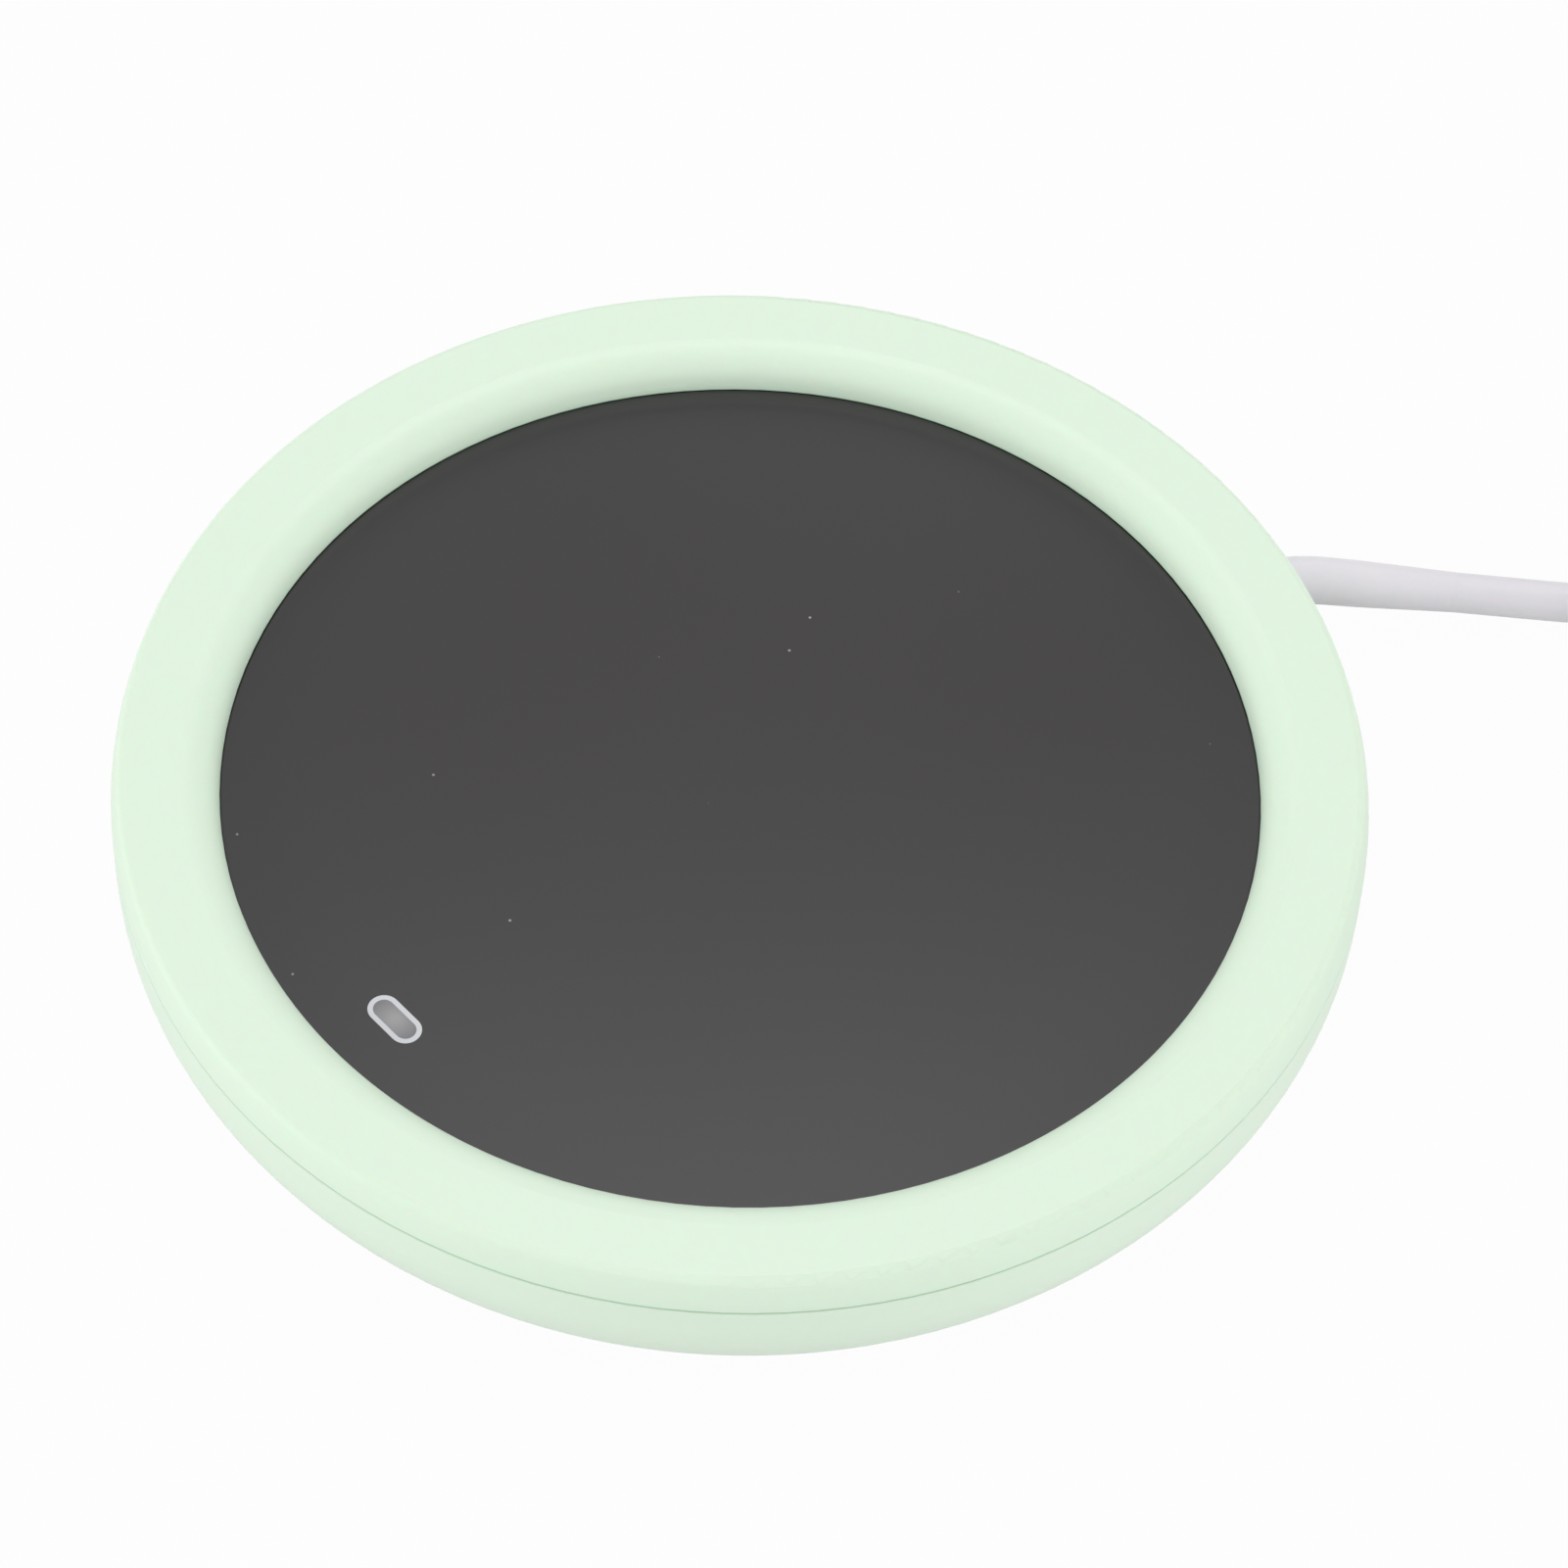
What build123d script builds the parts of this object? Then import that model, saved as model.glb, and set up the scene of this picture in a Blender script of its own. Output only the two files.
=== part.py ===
from build123d import *
import math
import os

# Electric mug warmer, in millimetres. The case's axis is Z, +Z is up and the table is Z = 0.
# +Y points to the back of the warmer, away from its user, and azimuths turn from +X towards +Y.

# Case
CASE_RADIUS = 59.0
TOTAL_HEIGHT = 20.0
FOOT_DROP = 1.2  # the case's underside above the table
WALL = 2.0
RING_DEPTH = 4.0  # the top face above the seam
RING_BAND = 10.1  # width of the ring seen from above
SIDE_BEND = 1.6  # above the seam, where the ring's side starts to lean in
SIDE_LEAN = 0.8  # how far the side leans in at its top
SIDE_RADIUS = 8.0  # round of that bend
SHOULDER_RADIUS = 0.9  # round outer edge of the ring
LIP_RADIUS = 3.4  # round inner edge of the ring
BELLY_RADIUS = 11.1  # round lower edge of the bottom shell
SEAM_CHAMFER = 0.2
SEAM_LINE = 0.2  # height of the open line all round at the seam
SEAM_LINE_DEPTH = 0.7
TONGUE_THICKNESS = 1.2
TONGUE_DROP = 1.4
FIT_GAP = 0.1  # between pieces that slide into each other
SEAT_GAP = 0.05  # between a round piece and what it lies on

# Heating panel and the stack that hangs under it
PANEL_RECESS = 3.9
PANEL_THICKNESS = 2.5
PANEL_OVERLAP = 2.0  # how far the panel reaches under the lip
PANEL_STEP = 0.25  # depth of the step round the panel's edge, where the gasket lies
PANEL_STEP_GAP = 0.15  # between the panel's raised middle and the lip
POCKET_GAP = 0.3
POCKET_WALL = 1.2
POCKET_SKIRT = 0.4  # how far the pocket's wall reaches below the panel
GASKET_THICKNESS = 0.25
GASKET_INSET = 0.4
SPREADER_THICKNESS = 1.2
SPREADER_MARGIN = 5.4
FILM_THICKNESS = 0.2
FILM_MARGIN = 7.9
TRACK_THICKNESS = 0.1
TRACK_WIDTH = 1.6
TRACK_PITCH = 4.0
TRACK_ARCS = 7
TRACK_INSET = 6.1  # the outermost arc, inwards from the pill's centre
TRACK_GAP = 1.6  # half the width of the gap between the ends of the arcs
TRACK_ANGLE = 150.0
PAD_RADIUS = 1.4
INSULATION_THICKNESS = 2.6
INSULATION_MARGIN = 8.9
CLAMP_PLATE_THICKNESS = 0.8
CLAMP_PLATE_MARGIN = 9.9
SLOT_HALF_WIDTH = 3.6  # the slot that the heater's leads drop through
SLOT_SPARE = 3.0

# Pill-shaped window in the panel, over the lamp
PILL_ANGLE = 223.1
PILL_INSET = 6.8  # its centre, inwards from the ring's opening
PILL_LENGTH = 6.1
PILL_WIDTH = 3.0
PILL_STROKE = 0.5
PRINT_DEPTH = 0.15
GUIDE_WALL = 0.1  # the light guide's edge, inwards from the window's edge
SLEEVE_GAP = 0.2
SLEEVE_WALL = 2.0
SLEEVE_CLEARANCE = 0.5

# Screws
LUG_OFFSET = 1.7  # from the pocket to the lugs' centres
LUG_RADIUS = 2.6
POST_RADIUS = 3.4
POST_INSET = 12.5
BOSS_RADIUS = 1.7
BOSS_HEIGHT = 2.5
SCREW_RADIUS = 0.9
SCREW_HOLE_GAP = 0.05
CASE_SCREW_ANGLES = (80.0, 170.0, 260.0, 350.0)
CASE_HEAD_RADIUS = 2.3
CASE_HEAD_HEIGHT = 1.3
CASE_HEAD_COVER = 3.7  # the post's thickness above a screw's head
COUNTERBORE_GAP = 0.2
CASE_SCREW_LENGTH = 6.6
CLAMP_SCREW_ANGLES = (125.0, 215.0, 305.0)
CLAMP_HEAD_RADIUS = 1.9
CLAMP_HEAD_HEIGHT = 1.1
CLAMP_SCREW_LENGTH = 6.0
RECESS_WIDTH = 0.5
RECESS_DEPTH = 0.6
TIP_GAP = 0.4  # below a screw's tip, at the end of its hole

# Underside
FOOT_RADIUS = 6.0
FOOT_INSET = 21.0
FOOT_ANGLES = (45.0, 135.0, 225.0, 315.0)
FOOT_POCKET = 0.8
FOOT_ROUND = 0.5
PLATE_RECESS_RADIUS = 21.0
PLATE_RECESS_DEPTH = 0.3

# Control board, in a frame with +X outwards along the pill's azimuth
BOARD_WIDTH = 27.0
BOARD_LENGTH = 44.0
BOARD_THICKNESS = 1.2
BOARD_STANDOFF = 1.4
BOARD_CORNER = 2.0
BOARD_LAMP_OFFSET = 10.1  # the lamp from the board's centre
BOARD_HOLE_INSET = 3.2
BOARD_POST_RADIUS = 2.2
BOARD_SCREW_RADIUS = 0.7
BOARD_HEAD_RADIUS = 1.6
BOARD_HEAD_HEIGHT = 0.9
BOARD_SCREW_REACH = 2.6
LAMP_SIZE = (1.5, 3.0, 0.8)
CHIP_SIZE = (3.9, 9.9, 1.5)
CHIP_PLACE = (-3.0, 4.0)
CHIP_LEGS = 8
CHIP_LEG_PITCH = 1.27
CHIP_LEG_SIZE = (1.1, 0.4, 0.8)
SWITCH_SIZE = (6.1, 6.5, 2.2)
SWITCH_PLACE = (2.5, -11.0)
SWITCH_TAB_SIZE = (1.2, 5.2, 0.6)
CAPACITOR_SIZE = (4.3, 7.3, 2.3)
CAPACITOR_PLACE = (5.0, 13.5)
RESISTOR_SIZE = (1.6, 0.8, 0.5)
RESISTOR_PLACES = ((3.5, 1.0), (3.5, 3.0), (3.5, 5.0), (3.5, 7.0), (-3.5, -4.5), (-3.5, -6.5), (-7.0, -14.0))
CONNECTOR_SIZE = (5.2, 6.0, 2.4)
WIRE_SPACING = 2.5
WIRE_RADIUS = 0.6
THIN_WIRE_RADIUS = 0.35
SUPPLY_SOCKET_Y = 9.5
SENSOR_SOCKET_Y = -9.5
HEATER_SOCKET_X = -5.0
HEATER_WIRE_REACH = 8.8
HEATER_WIRE_STAGGER = 1.7
WIRE_REACH = 5.0

# Heat sensor and thermal fuse
SENSOR_ANGLE = 240.0
SENSOR_POSITION = 7.0
SENSOR_RADIUS = 1.0
SENSOR_LENGTH = 2.1
SENSOR_HOLE_RADIUS = 2.6
SENSOR_LEAD_SPREAD = 0.5
FUSE_RADIUS = 1.1
FUSE_LENGTH = 9.0
FUSE_OFFSET = 8.0  # its inner end, outwards from the innermost arc
FUSE_LEAD_REACH = 2.5
FUSE_LEAD_BEND = 0.5

# Cord: exit, strain relief and the clamp inside the case
CORD_DIAMETER = 4.0
EXIT_ANGLE = 32.8
MOUTH_INSET = 0.4  # the relief's shoulder, inwards from the case's radius
PAD_INSET = 8.5  # inner face of the pad in the wall that holds the relief
PAD_HALF_WIDTH = 7.0
PAD_OVER_EXIT = 4.6
NECK_WALL = 0.9  # round the cord
FLANGE_LIP = 1.3  # round the neck
FLANGE_THICKNESS = 1.5
SLEEVE_ROOT_WALL = 0.6
SLEEVE_TIP_WALL = 0.15
RELIEF_LENGTH = 23.0
RELIEF_STATIONS = 9
CORD_INSIDE = 6.5  # jacket that reaches inwards from the relief
CORD_CLAMP_INSET = 3.5  # the clamp's centre, inwards from the relief
CORD_CLAMP_WIDTH = 4.4
CORD_CLAMP_LENGTH = 17.0
CORD_CLAMP_THICKNESS = 1.3
CORD_CLAMP_SPACING = 12.0
CORD_POST_RADIUS = 2.2
CORD_SCREW_RADIUS = 0.8
CORD_SCREW_HEAD_RADIUS = 1.7
CORD_SCREW_HEAD_HEIGHT = 0.9
CORD_SCREW_REACH = 5.0
CRADLE_LENGTH = 6.0
CORD_CLAMP_CLEARANCE = 0.15  # between the clamp's screws and the heat spreader

# Coil of the put-away lead, beside the warmer, and its tie
COIL_OFFSET = (67.73, -22.12)  # its axis, from the mouth of the exit
COIL_RADIUS = 22.0
COIL_WIDTH = 12.6
COIL_HEIGHT = 11.4
COIL_ROUND = 3.0
TIE_THICKNESS = 0.55
TIE_SWEEP = 20.0
TIE_ANGLE = 200.0
TAIL_RUNS = (22.0, 12.0)  # down from the coil's top turn, then level into the plug
TAIL_BEND = 40.0

# Plug
PLUG_HALF_HEIGHT = 3.8
BOOT_LENGTH = 10.0
BOOT_TIP_RADIUS = 2.4
BOOT_ROOT_RADIUS = 3.5
PLUG_WIDTH = 15.7
PLUG_LENGTH = 21.0
PLUG_ROUND = 1.6
PLUG_EDGE = 0.6
SHELL_WIDTH = 12.0
SHELL_HEIGHT = 4.5
SHELL_SHEET = 0.3
SHELL_REACH = 12.0
SHELL_ROOT = 5.0
LATCH_SIZE = 2.0
LATCH_SPACING = 5.0
LATCH_FROM_MOUTH = 6.0
TONGUE_PLASTIC = 1.8
TONGUE_SHORT = 1.0
CONTACT_SIZE = (1.0, 0.12, 8.0)
CONTACT_PLACES = (-3.5, -1.0, 1.0, 3.5)

# Heights that follow
TOP = TOTAL_HEIGHT
SEAM = TOP - RING_DEPTH
BASE = FOOT_DROP
FLOOR = BASE + WALL
ROOF = TOP - WALL
TONGUE_LOW = SEAM - TONGUE_DROP
PANEL_TOP = TOP - PANEL_RECESS
PANEL_LOW = PANEL_TOP - PANEL_THICKNESS
STEP_TOP = PANEL_TOP - PANEL_STEP
LIP_FOOT = STEP_TOP + GASKET_THICKNESS
POCKET_LOW = PANEL_LOW - POCKET_SKIRT
SPREADER_LOW = PANEL_LOW - SPREADER_THICKNESS
FILM_LOW = SPREADER_LOW - FILM_THICKNESS
TRACK_LOW = FILM_LOW - TRACK_THICKNESS
INSULATION_LOW = TRACK_LOW - INSULATION_THICKNESS
CLAMP_PLATE_LOW = INSULATION_LOW - CLAMP_PLATE_THICKNESS
LUG_LOW = INSULATION_LOW
CASE_HEAD_SEAT = CLAMP_PLATE_LOW - CASE_HEAD_COVER
BOARD_LOW = FLOOR + BOARD_STANDOFF
BOARD_TOP = BOARD_LOW + BOARD_THICKNESS
WIRE_HEIGHT = BOARD_TOP + CONNECTOR_SIZE[2] / 2

# Radii that follow
OPENING_RADIUS = CASE_RADIUS - RING_BAND
PANEL_RADIUS = OPENING_RADIUS + PANEL_OVERLAP
RAISED_RADIUS = OPENING_RADIUS - PANEL_STEP_GAP
POCKET_RADIUS = PANEL_RADIUS + POCKET_GAP
TONGUE_OUTER = CASE_RADIUS - WALL - FIT_GAP
TONGUE_INNER = TONGUE_OUTER - TONGUE_THICKNESS
LUG_POSITION = POCKET_RADIUS + LUG_OFFSET
POST_POSITION = CASE_RADIUS - POST_INSET
PILL_POSITION = OPENING_RADIUS - PILL_INSET
TRACK_LAST_RADIUS = PILL_POSITION - TRACK_INSET
TRACK_FIRST_RADIUS = TRACK_LAST_RADIUS - (TRACK_ARCS - 1) * TRACK_PITCH
FUSE_START = TRACK_FIRST_RADIUS + FUSE_OFFSET
FOOT_POSITION = CASE_RADIUS - FOOT_INSET
EXIT_POSITION = CASE_RADIUS - MOUTH_INSET
PAD_POSITION = CASE_RADIUS - PAD_INSET
FLANGE_POSITION = PAD_POSITION - FLANGE_THICKNESS
CORD_RADIUS = CORD_DIAMETER / 2
NECK_RADIUS = CORD_RADIUS + NECK_WALL
FLANGE_RADIUS = NECK_RADIUS + FLANGE_LIP
CORD_CLAMP_STACK = CORD_CLAMP_THICKNESS + CORD_SCREW_HEAD_HEIGHT + CORD_CLAMP_CLEARANCE
EXIT_HEIGHT = SPREADER_LOW - CORD_CLAMP_STACK - CORD_RADIUS - SEAT_GAP

# Frames
MIN_Z = (Align.CENTER, Align.CENTER, Align.MIN)
PILL_FRAME = Rot(0, 0, PILL_ANGLE) * Pos(PILL_POSITION, 0, 0)
BOARD_FRAME = Rot(0, 0, PILL_ANGLE) * Pos(PILL_POSITION - BOARD_LAMP_OFFSET, 0, 0)
TRACK_FRAME = Rot(0, 0, TRACK_ANGLE)
EXIT_FRAME = Rot(0, 0, EXIT_ANGLE)

# The cord's route: its mouth, then hand-chosen points as offsets from the mouth, with heights above the table
MOUTH_X = EXIT_POSITION * math.cos(math.radians(EXIT_ANGLE))
MOUTH_Y = EXIT_POSITION * math.sin(math.radians(EXIT_ANGLE))
FIRST_RUN = 3.9  # straight out along the exit's axis
ROUTE_OFFSETS = (
    (12.8, 3.8, 5.2),
    (21.6, 5.3, CORD_RADIUS + 0.7),
    (36.7, 4.7, CORD_RADIUS),
)
LAST_RUN_SHARE = 0.35  # of the way from the last of them to the coil's joint
ARC_SHARE = 0.45  # the part of a run that one of its arcs may take
COIL_X = MOUTH_X + COIL_OFFSET[0]
COIL_Y = MOUTH_Y + COIL_OFFSET[1]
COIL_LOW = TIE_THICKNESS + 2 * SEAT_GAP
COIL_FRAME = Pos(COIL_X, COIL_Y, 0)
ENTRY_ANGLE = 89.0  # where the lead joins the coil's outer turn, along that turn
OUTER_TURN = COIL_RADIUS + COIL_WIDTH / 2 - CORD_RADIUS
TOP_TURN = COIL_LOW + COIL_HEIGHT - CORD_RADIUS
PLUG_FRAME = Pos(COIL_X + OUTER_TURN, COIL_Y - sum(TAIL_RUNS), PLUG_HALF_HEIGHT) * Rot(90, 0, 0)


def coil_joint():
    """The point where the lead has joined the coil's lowest, outermost turn."""
    x = COIL_X + OUTER_TURN * math.cos(math.radians(ENTRY_ANGLE))
    y = COIL_Y + OUTER_TURN * math.sin(math.radians(ENTRY_ANGLE))
    return Vector(x, y, COIL_LOW + CORD_RADIUS)


def route_points():
    """The cord's points, from the mouth to the last one before the coil."""
    angle = math.radians(EXIT_ANGLE)
    first = Vector(MOUTH_X, MOUTH_Y, EXIT_HEIGHT)
    points = [first, first + Vector(math.cos(angle), math.sin(angle), 0) * FIRST_RUN]
    points += [Vector(MOUTH_X + x, MOUTH_Y + y, z) for x, y, z in ROUTE_OFFSETS]
    return points + [points[-1] + (coil_joint() - points[-1]) * LAST_RUN_SHARE]


def disc(radius, low, high):
    """A cylinder about the Z axis between two heights."""
    return Pos(0, 0, low) * Cylinder(radius, high - low, align=MIN_Z)


def ring(outer, inner, low, high):
    """A flat ring about the Z axis between two heights."""
    return disc(outer, low, high) - disc(inner, low, high)


def block(size, x, y, low):
    """A box of a given size, centred at x and y, standing on a height."""
    return Pos(x, y, low) * Box(size[0], size[1], size[2], align=MIN_Z)


def at(radius, azimuth):
    """The place on a radius and azimuth, with +X outwards."""
    return Rot(0, 0, azimuth) * Pos(radius, 0, 0)


def corner(face, place):
    """The vertex of a flat outline nearest to a place."""
    return face.vertices().sort_by_distance(Vector(place[0], place[1], 0))[0]


def turned(points, rounds=(), bevels=()):
    """A solid of revolution about Z from an outline in radius and height, with round or bevelled corners."""
    face = make_face(Polyline(*points, close=True))
    for place, radius in rounds:
        face = fillet(corner(face, place), radius)
    for place, size in bevels:
        face = chamfer(corner(face, place), size)
    return revolve(Plane.XZ * face, Axis.Z)


def pill(length, width, low, high):
    """A pill-shaped block at the window, its long side along the ring."""
    outline = SlotOverall(length, width, rotation=90)
    return PILL_FRAME * Pos(0, 0, low) * extrude(outline, high - low)


def tube(points, radius, bend):
    """A round wire along straight runs joined by arcs of one radius."""
    path = FilletPolyline(*points, radius=bend)
    section = Plane(origin=path @ 0, z_dir=path % 0) * Circle(radius)
    return sweep(section, path)


def cross_recess(depth_from, direction, radius):
    """A cross-shaped cut in a screw's head, from its top towards its tip."""
    low = depth_from if direction > 0 else depth_from - RECESS_DEPTH
    first = block((2 * radius, RECESS_WIDTH, RECESS_DEPTH), 0, 0, low)
    second = block((RECESS_WIDTH, 2 * radius, RECESS_DEPTH), 0, 0, low)
    return first + second


def screw_up(head_radius, head_height, seat, length, radius):
    """A screw driven upwards: its head under the seat's height, its shank above it."""
    body = disc(head_radius, seat - head_height, seat) + disc(radius, seat, seat + length)
    return body - cross_recess(seat - head_height, 1, head_radius * 0.62)


def screw_down(head_radius, head_height, seat, length, radius):
    """A screw driven downwards: its head on the seat's height, its shank below it."""
    body = disc(head_radius, seat, seat + head_height) + disc(radius, seat - length, seat)
    return body - cross_recess(seat + head_height, -1, head_radius * 0.62)


def window_notch():
    """What the light guide and its sleeve need in each layer under the panel, open to the layer's edge."""
    length = PILL_LENGTH + 2 * (SLEEVE_GAP + SLEEVE_WALL + SLEEVE_CLEARANCE)
    width = PILL_WIDTH + 2 * (SLEEVE_GAP + SLEEVE_WALL + SLEEVE_CLEARANCE)
    slot = pill(length, width, CLAMP_PLATE_LOW, PANEL_LOW)
    way_out = block((2 * width, length, PANEL_LOW - CLAMP_PLATE_LOW), width, 0, CLAMP_PLATE_LOW)
    return slot + PILL_FRAME * way_out


def lead_slot(low, high):
    """The radial slot that the heater's leads and the fuse sit in."""
    start = TRACK_FIRST_RADIUS - SLOT_SPARE
    end = TRACK_LAST_RADIUS + SLOT_SPARE
    size = (end - start, 2 * SLOT_HALF_WIDTH, high - low)
    return TRACK_FRAME * block(size, (start + end) / 2, 0, low)


def top_ring():
    points = [
        (CASE_RADIUS - SEAM_LINE_DEPTH, SEAM + SEAM_LINE),
        (CASE_RADIUS, SEAM + SEAM_LINE),
        (CASE_RADIUS, SEAM + SIDE_BEND),
        (CASE_RADIUS - SIDE_LEAN, TOP),
        (OPENING_RADIUS, TOP),
        (OPENING_RADIUS, LIP_FOOT),
        (POCKET_RADIUS, LIP_FOOT),
        (POCKET_RADIUS, POCKET_LOW),
        (POCKET_RADIUS + POCKET_WALL, POCKET_LOW),
        (POCKET_RADIUS + POCKET_WALL, ROOF),
        (TONGUE_INNER, ROOF),
        (TONGUE_INNER, TONGUE_LOW),
        (TONGUE_OUTER, TONGUE_LOW),
        (TONGUE_OUTER, SEAM),
        (CASE_RADIUS - SEAM_LINE_DEPTH, SEAM),
    ]
    rounds = (
        ((CASE_RADIUS, SEAM + SIDE_BEND), SIDE_RADIUS),
        ((CASE_RADIUS - SIDE_LEAN, TOP), SHOULDER_RADIUS),
        ((OPENING_RADIUS, TOP), LIP_RADIUS),
    )
    body = turned(points, rounds)
    tip = CLAMP_PLATE_LOW + CLAMP_SCREW_LENGTH + TIP_GAP
    for azimuth in CLAMP_SCREW_ANGLES:
        place = at(LUG_POSITION, azimuth)
        body += place * disc(LUG_RADIUS, LUG_LOW, ROOF) - disc(POCKET_RADIUS, LUG_LOW, LIP_FOOT)
        body -= place * disc(SCREW_RADIUS + SCREW_HOLE_GAP, LUG_LOW, tip)
    return body


def board_hole_places():
    """The board's screws, in the board's frame."""
    x = BOARD_WIDTH / 2 - BOARD_HOLE_INSET
    y = BOARD_LENGTH / 2 - BOARD_HOLE_INSET
    return [(-x, -y), (-x, y), (x, -y), (x, y)]


def cord_clamp_place(side):
    """One of the cord clamp's two screws."""
    return at(FLANGE_POSITION - CORD_CLAMP_INSET, EXIT_ANGLE) * Pos(0, side * CORD_CLAMP_SPACING / 2, 0)


def cord_clamp_seat():
    """The height of the clamp bar's underside, just over the cord."""
    return EXIT_HEIGHT + CORD_RADIUS + SEAT_GAP


def case_room():
    """The space inside the bottom shell."""
    inside = CASE_RADIUS - WALL
    outline = [(0, FLOOR), (inside, FLOOR), (inside, SEAM + WALL), (0, SEAM + WALL)]
    return turned(outline, (((inside, FLOOR), BELLY_RADIUS - WALL),))


def bottom_shell():
    """A cup with a round lower edge, and the posts, pad and cradle inside it."""
    outer = turned(
        [(0, BASE), (CASE_RADIUS, BASE), (CASE_RADIUS, SEAM), (0, SEAM)],
        (((CASE_RADIUS, BASE), BELLY_RADIUS),),
        (((CASE_RADIUS, SEAM), SEAM_CHAMFER),),
    )
    pad_size = (2 * PAD_INSET, 2 * PAD_HALF_WIDTH, EXIT_HEIGHT + PAD_OVER_EXIT - BASE)
    fittings = EXIT_FRAME * block(pad_size, PAD_POSITION + PAD_INSET, 0, BASE)
    for azimuth in CASE_SCREW_ANGLES:
        fittings += at(POST_POSITION, azimuth) * disc(POST_RADIUS, BASE, CLAMP_PLATE_LOW)
    for x, y in board_hole_places():
        fittings += BOARD_FRAME * Pos(x, y, 0) * disc(BOARD_POST_RADIUS, BASE, BOARD_LOW)
    for side in (-1, 1):
        fittings += cord_clamp_place(side) * disc(CORD_POST_RADIUS, BASE, cord_clamp_seat())
    cradle_height = EXIT_HEIGHT - CORD_RADIUS - SEAT_GAP - BASE
    cradle = block((CORD_CLAMP_WIDTH, CRADLE_LENGTH, cradle_height), 0, 0, BASE)
    fittings += at(FLANGE_POSITION - CORD_CLAMP_INSET, EXIT_ANGLE) * cradle
    shell = (outer - case_room()) + (fittings & outer)
    for azimuth in CASE_SCREW_ANGLES:
        place = at(POST_POSITION, azimuth)
        shell -= place * disc(CASE_HEAD_RADIUS + COUNTERBORE_GAP, 0, CASE_HEAD_SEAT)
        shell -= place * disc(SCREW_RADIUS + COUNTERBORE_GAP, 0, CLAMP_PLATE_LOW)
    for azimuth in FOOT_ANGLES:
        shell -= at(FOOT_POSITION, azimuth) * disc(FOOT_RADIUS + FIT_GAP, 0, BASE + FOOT_POCKET)
    for x, y in board_hole_places():
        hole = disc(BOARD_SCREW_RADIUS + SCREW_HOLE_GAP, BOARD_TOP - BOARD_SCREW_REACH - TIP_GAP, BOARD_LOW)
        shell -= BOARD_FRAME * Pos(x, y, 0) * hole
    for side in (-1, 1):
        low = cord_clamp_seat() + CORD_CLAMP_THICKNESS - CORD_SCREW_REACH - TIP_GAP
        shell -= cord_clamp_place(side) * disc(CORD_SCREW_RADIUS + SCREW_HOLE_GAP, low, cord_clamp_seat())
    shell -= disc(PLATE_RECESS_RADIUS, 0, BASE + PLATE_RECESS_DEPTH)
    shell -= exit_bar(PAD_POSITION - WALL, CASE_RADIUS + WALL, NECK_RADIUS + FIT_GAP)
    return shell


def exit_bar(start, end, radius):
    """A round bar along the exit's axis, between two distances from the case's axis."""
    bar = Rot(0, 90, 0) * Cylinder(radius, end - start, align=MIN_Z)
    return EXIT_FRAME * Pos(start, 0, EXIT_HEIGHT) * bar


def indicator_window():
    """The clear filling of the pill-shaped hole, through the whole panel."""
    return pill(PILL_LENGTH - 2 * PILL_STROKE, PILL_WIDTH - 2 * PILL_STROKE, PANEL_LOW, PANEL_TOP)


def indicator_outline():
    """The printed line round the window, flush with the panel's face."""
    return pill(PILL_LENGTH, PILL_WIDTH, PANEL_TOP - PRINT_DEPTH, PANEL_TOP) - indicator_window()


def heating_panel():
    """A glass disc: its flat middle fills the ring's opening, and its stepped edge lies under the lip."""
    panel = disc(PANEL_RADIUS, PANEL_LOW, STEP_TOP) + disc(RAISED_RADIUS, PANEL_LOW, PANEL_TOP)
    return panel - indicator_window() - pill(PILL_LENGTH, PILL_WIDTH, PANEL_TOP - PRINT_DEPTH, PANEL_TOP)


def panel_gasket():
    return ring(PANEL_RADIUS - GASKET_INSET, OPENING_RADIUS + GASKET_INSET, STEP_TOP, LIP_FOOT)


def heat_spreader():
    return disc(PANEL_RADIUS - SPREADER_MARGIN, SPREADER_LOW, PANEL_LOW) - window_notch()


def heater_film():
    return disc(PANEL_RADIUS - FILM_MARGIN, FILM_LOW, SPREADER_LOW) - window_notch()


def track_ends():
    """The two ends of the heater's track, in its own frame."""
    side = TRACK_GAP + TRACK_WIDTH / 2
    return (TRACK_FIRST_RADIUS, -side), (TRACK_LAST_RADIUS, side)


def heater_track():
    half = TRACK_WIDTH / 2
    side = TRACK_GAP + half
    arcs = Sketch()
    for index in range(TRACK_ARCS):
        radius = TRACK_FIRST_RADIUS + index * TRACK_PITCH
        arcs += Circle(radius + half) - Circle(radius - half)
    arcs -= Pos(CASE_RADIUS / 2, 0) * Rectangle(CASE_RADIUS, 2 * TRACK_GAP)
    for index in range(TRACK_ARCS - 1):
        radius = TRACK_FIRST_RADIUS + (index + 0.5) * TRACK_PITCH
        sign = 1 if index % 2 == 0 else -1
        arcs += Pos(radius, sign * side) * Rectangle(TRACK_PITCH + TRACK_WIDTH, TRACK_WIDTH)
    for x, y in track_ends():
        arcs += Pos(x, y) * Circle(PAD_RADIUS)
    track = TRACK_FRAME * Pos(0, 0, TRACK_LOW) * extrude(arcs, TRACK_THICKNESS)
    return track


def insulation_pad():
    pad = disc(PANEL_RADIUS - INSULATION_MARGIN, INSULATION_LOW, TRACK_LOW) - window_notch()
    pad -= lead_slot(INSULATION_LOW, TRACK_LOW)
    return pad - at(SENSOR_POSITION, SENSOR_ANGLE) * disc(SENSOR_HOLE_RADIUS, INSULATION_LOW, TRACK_LOW)


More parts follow.
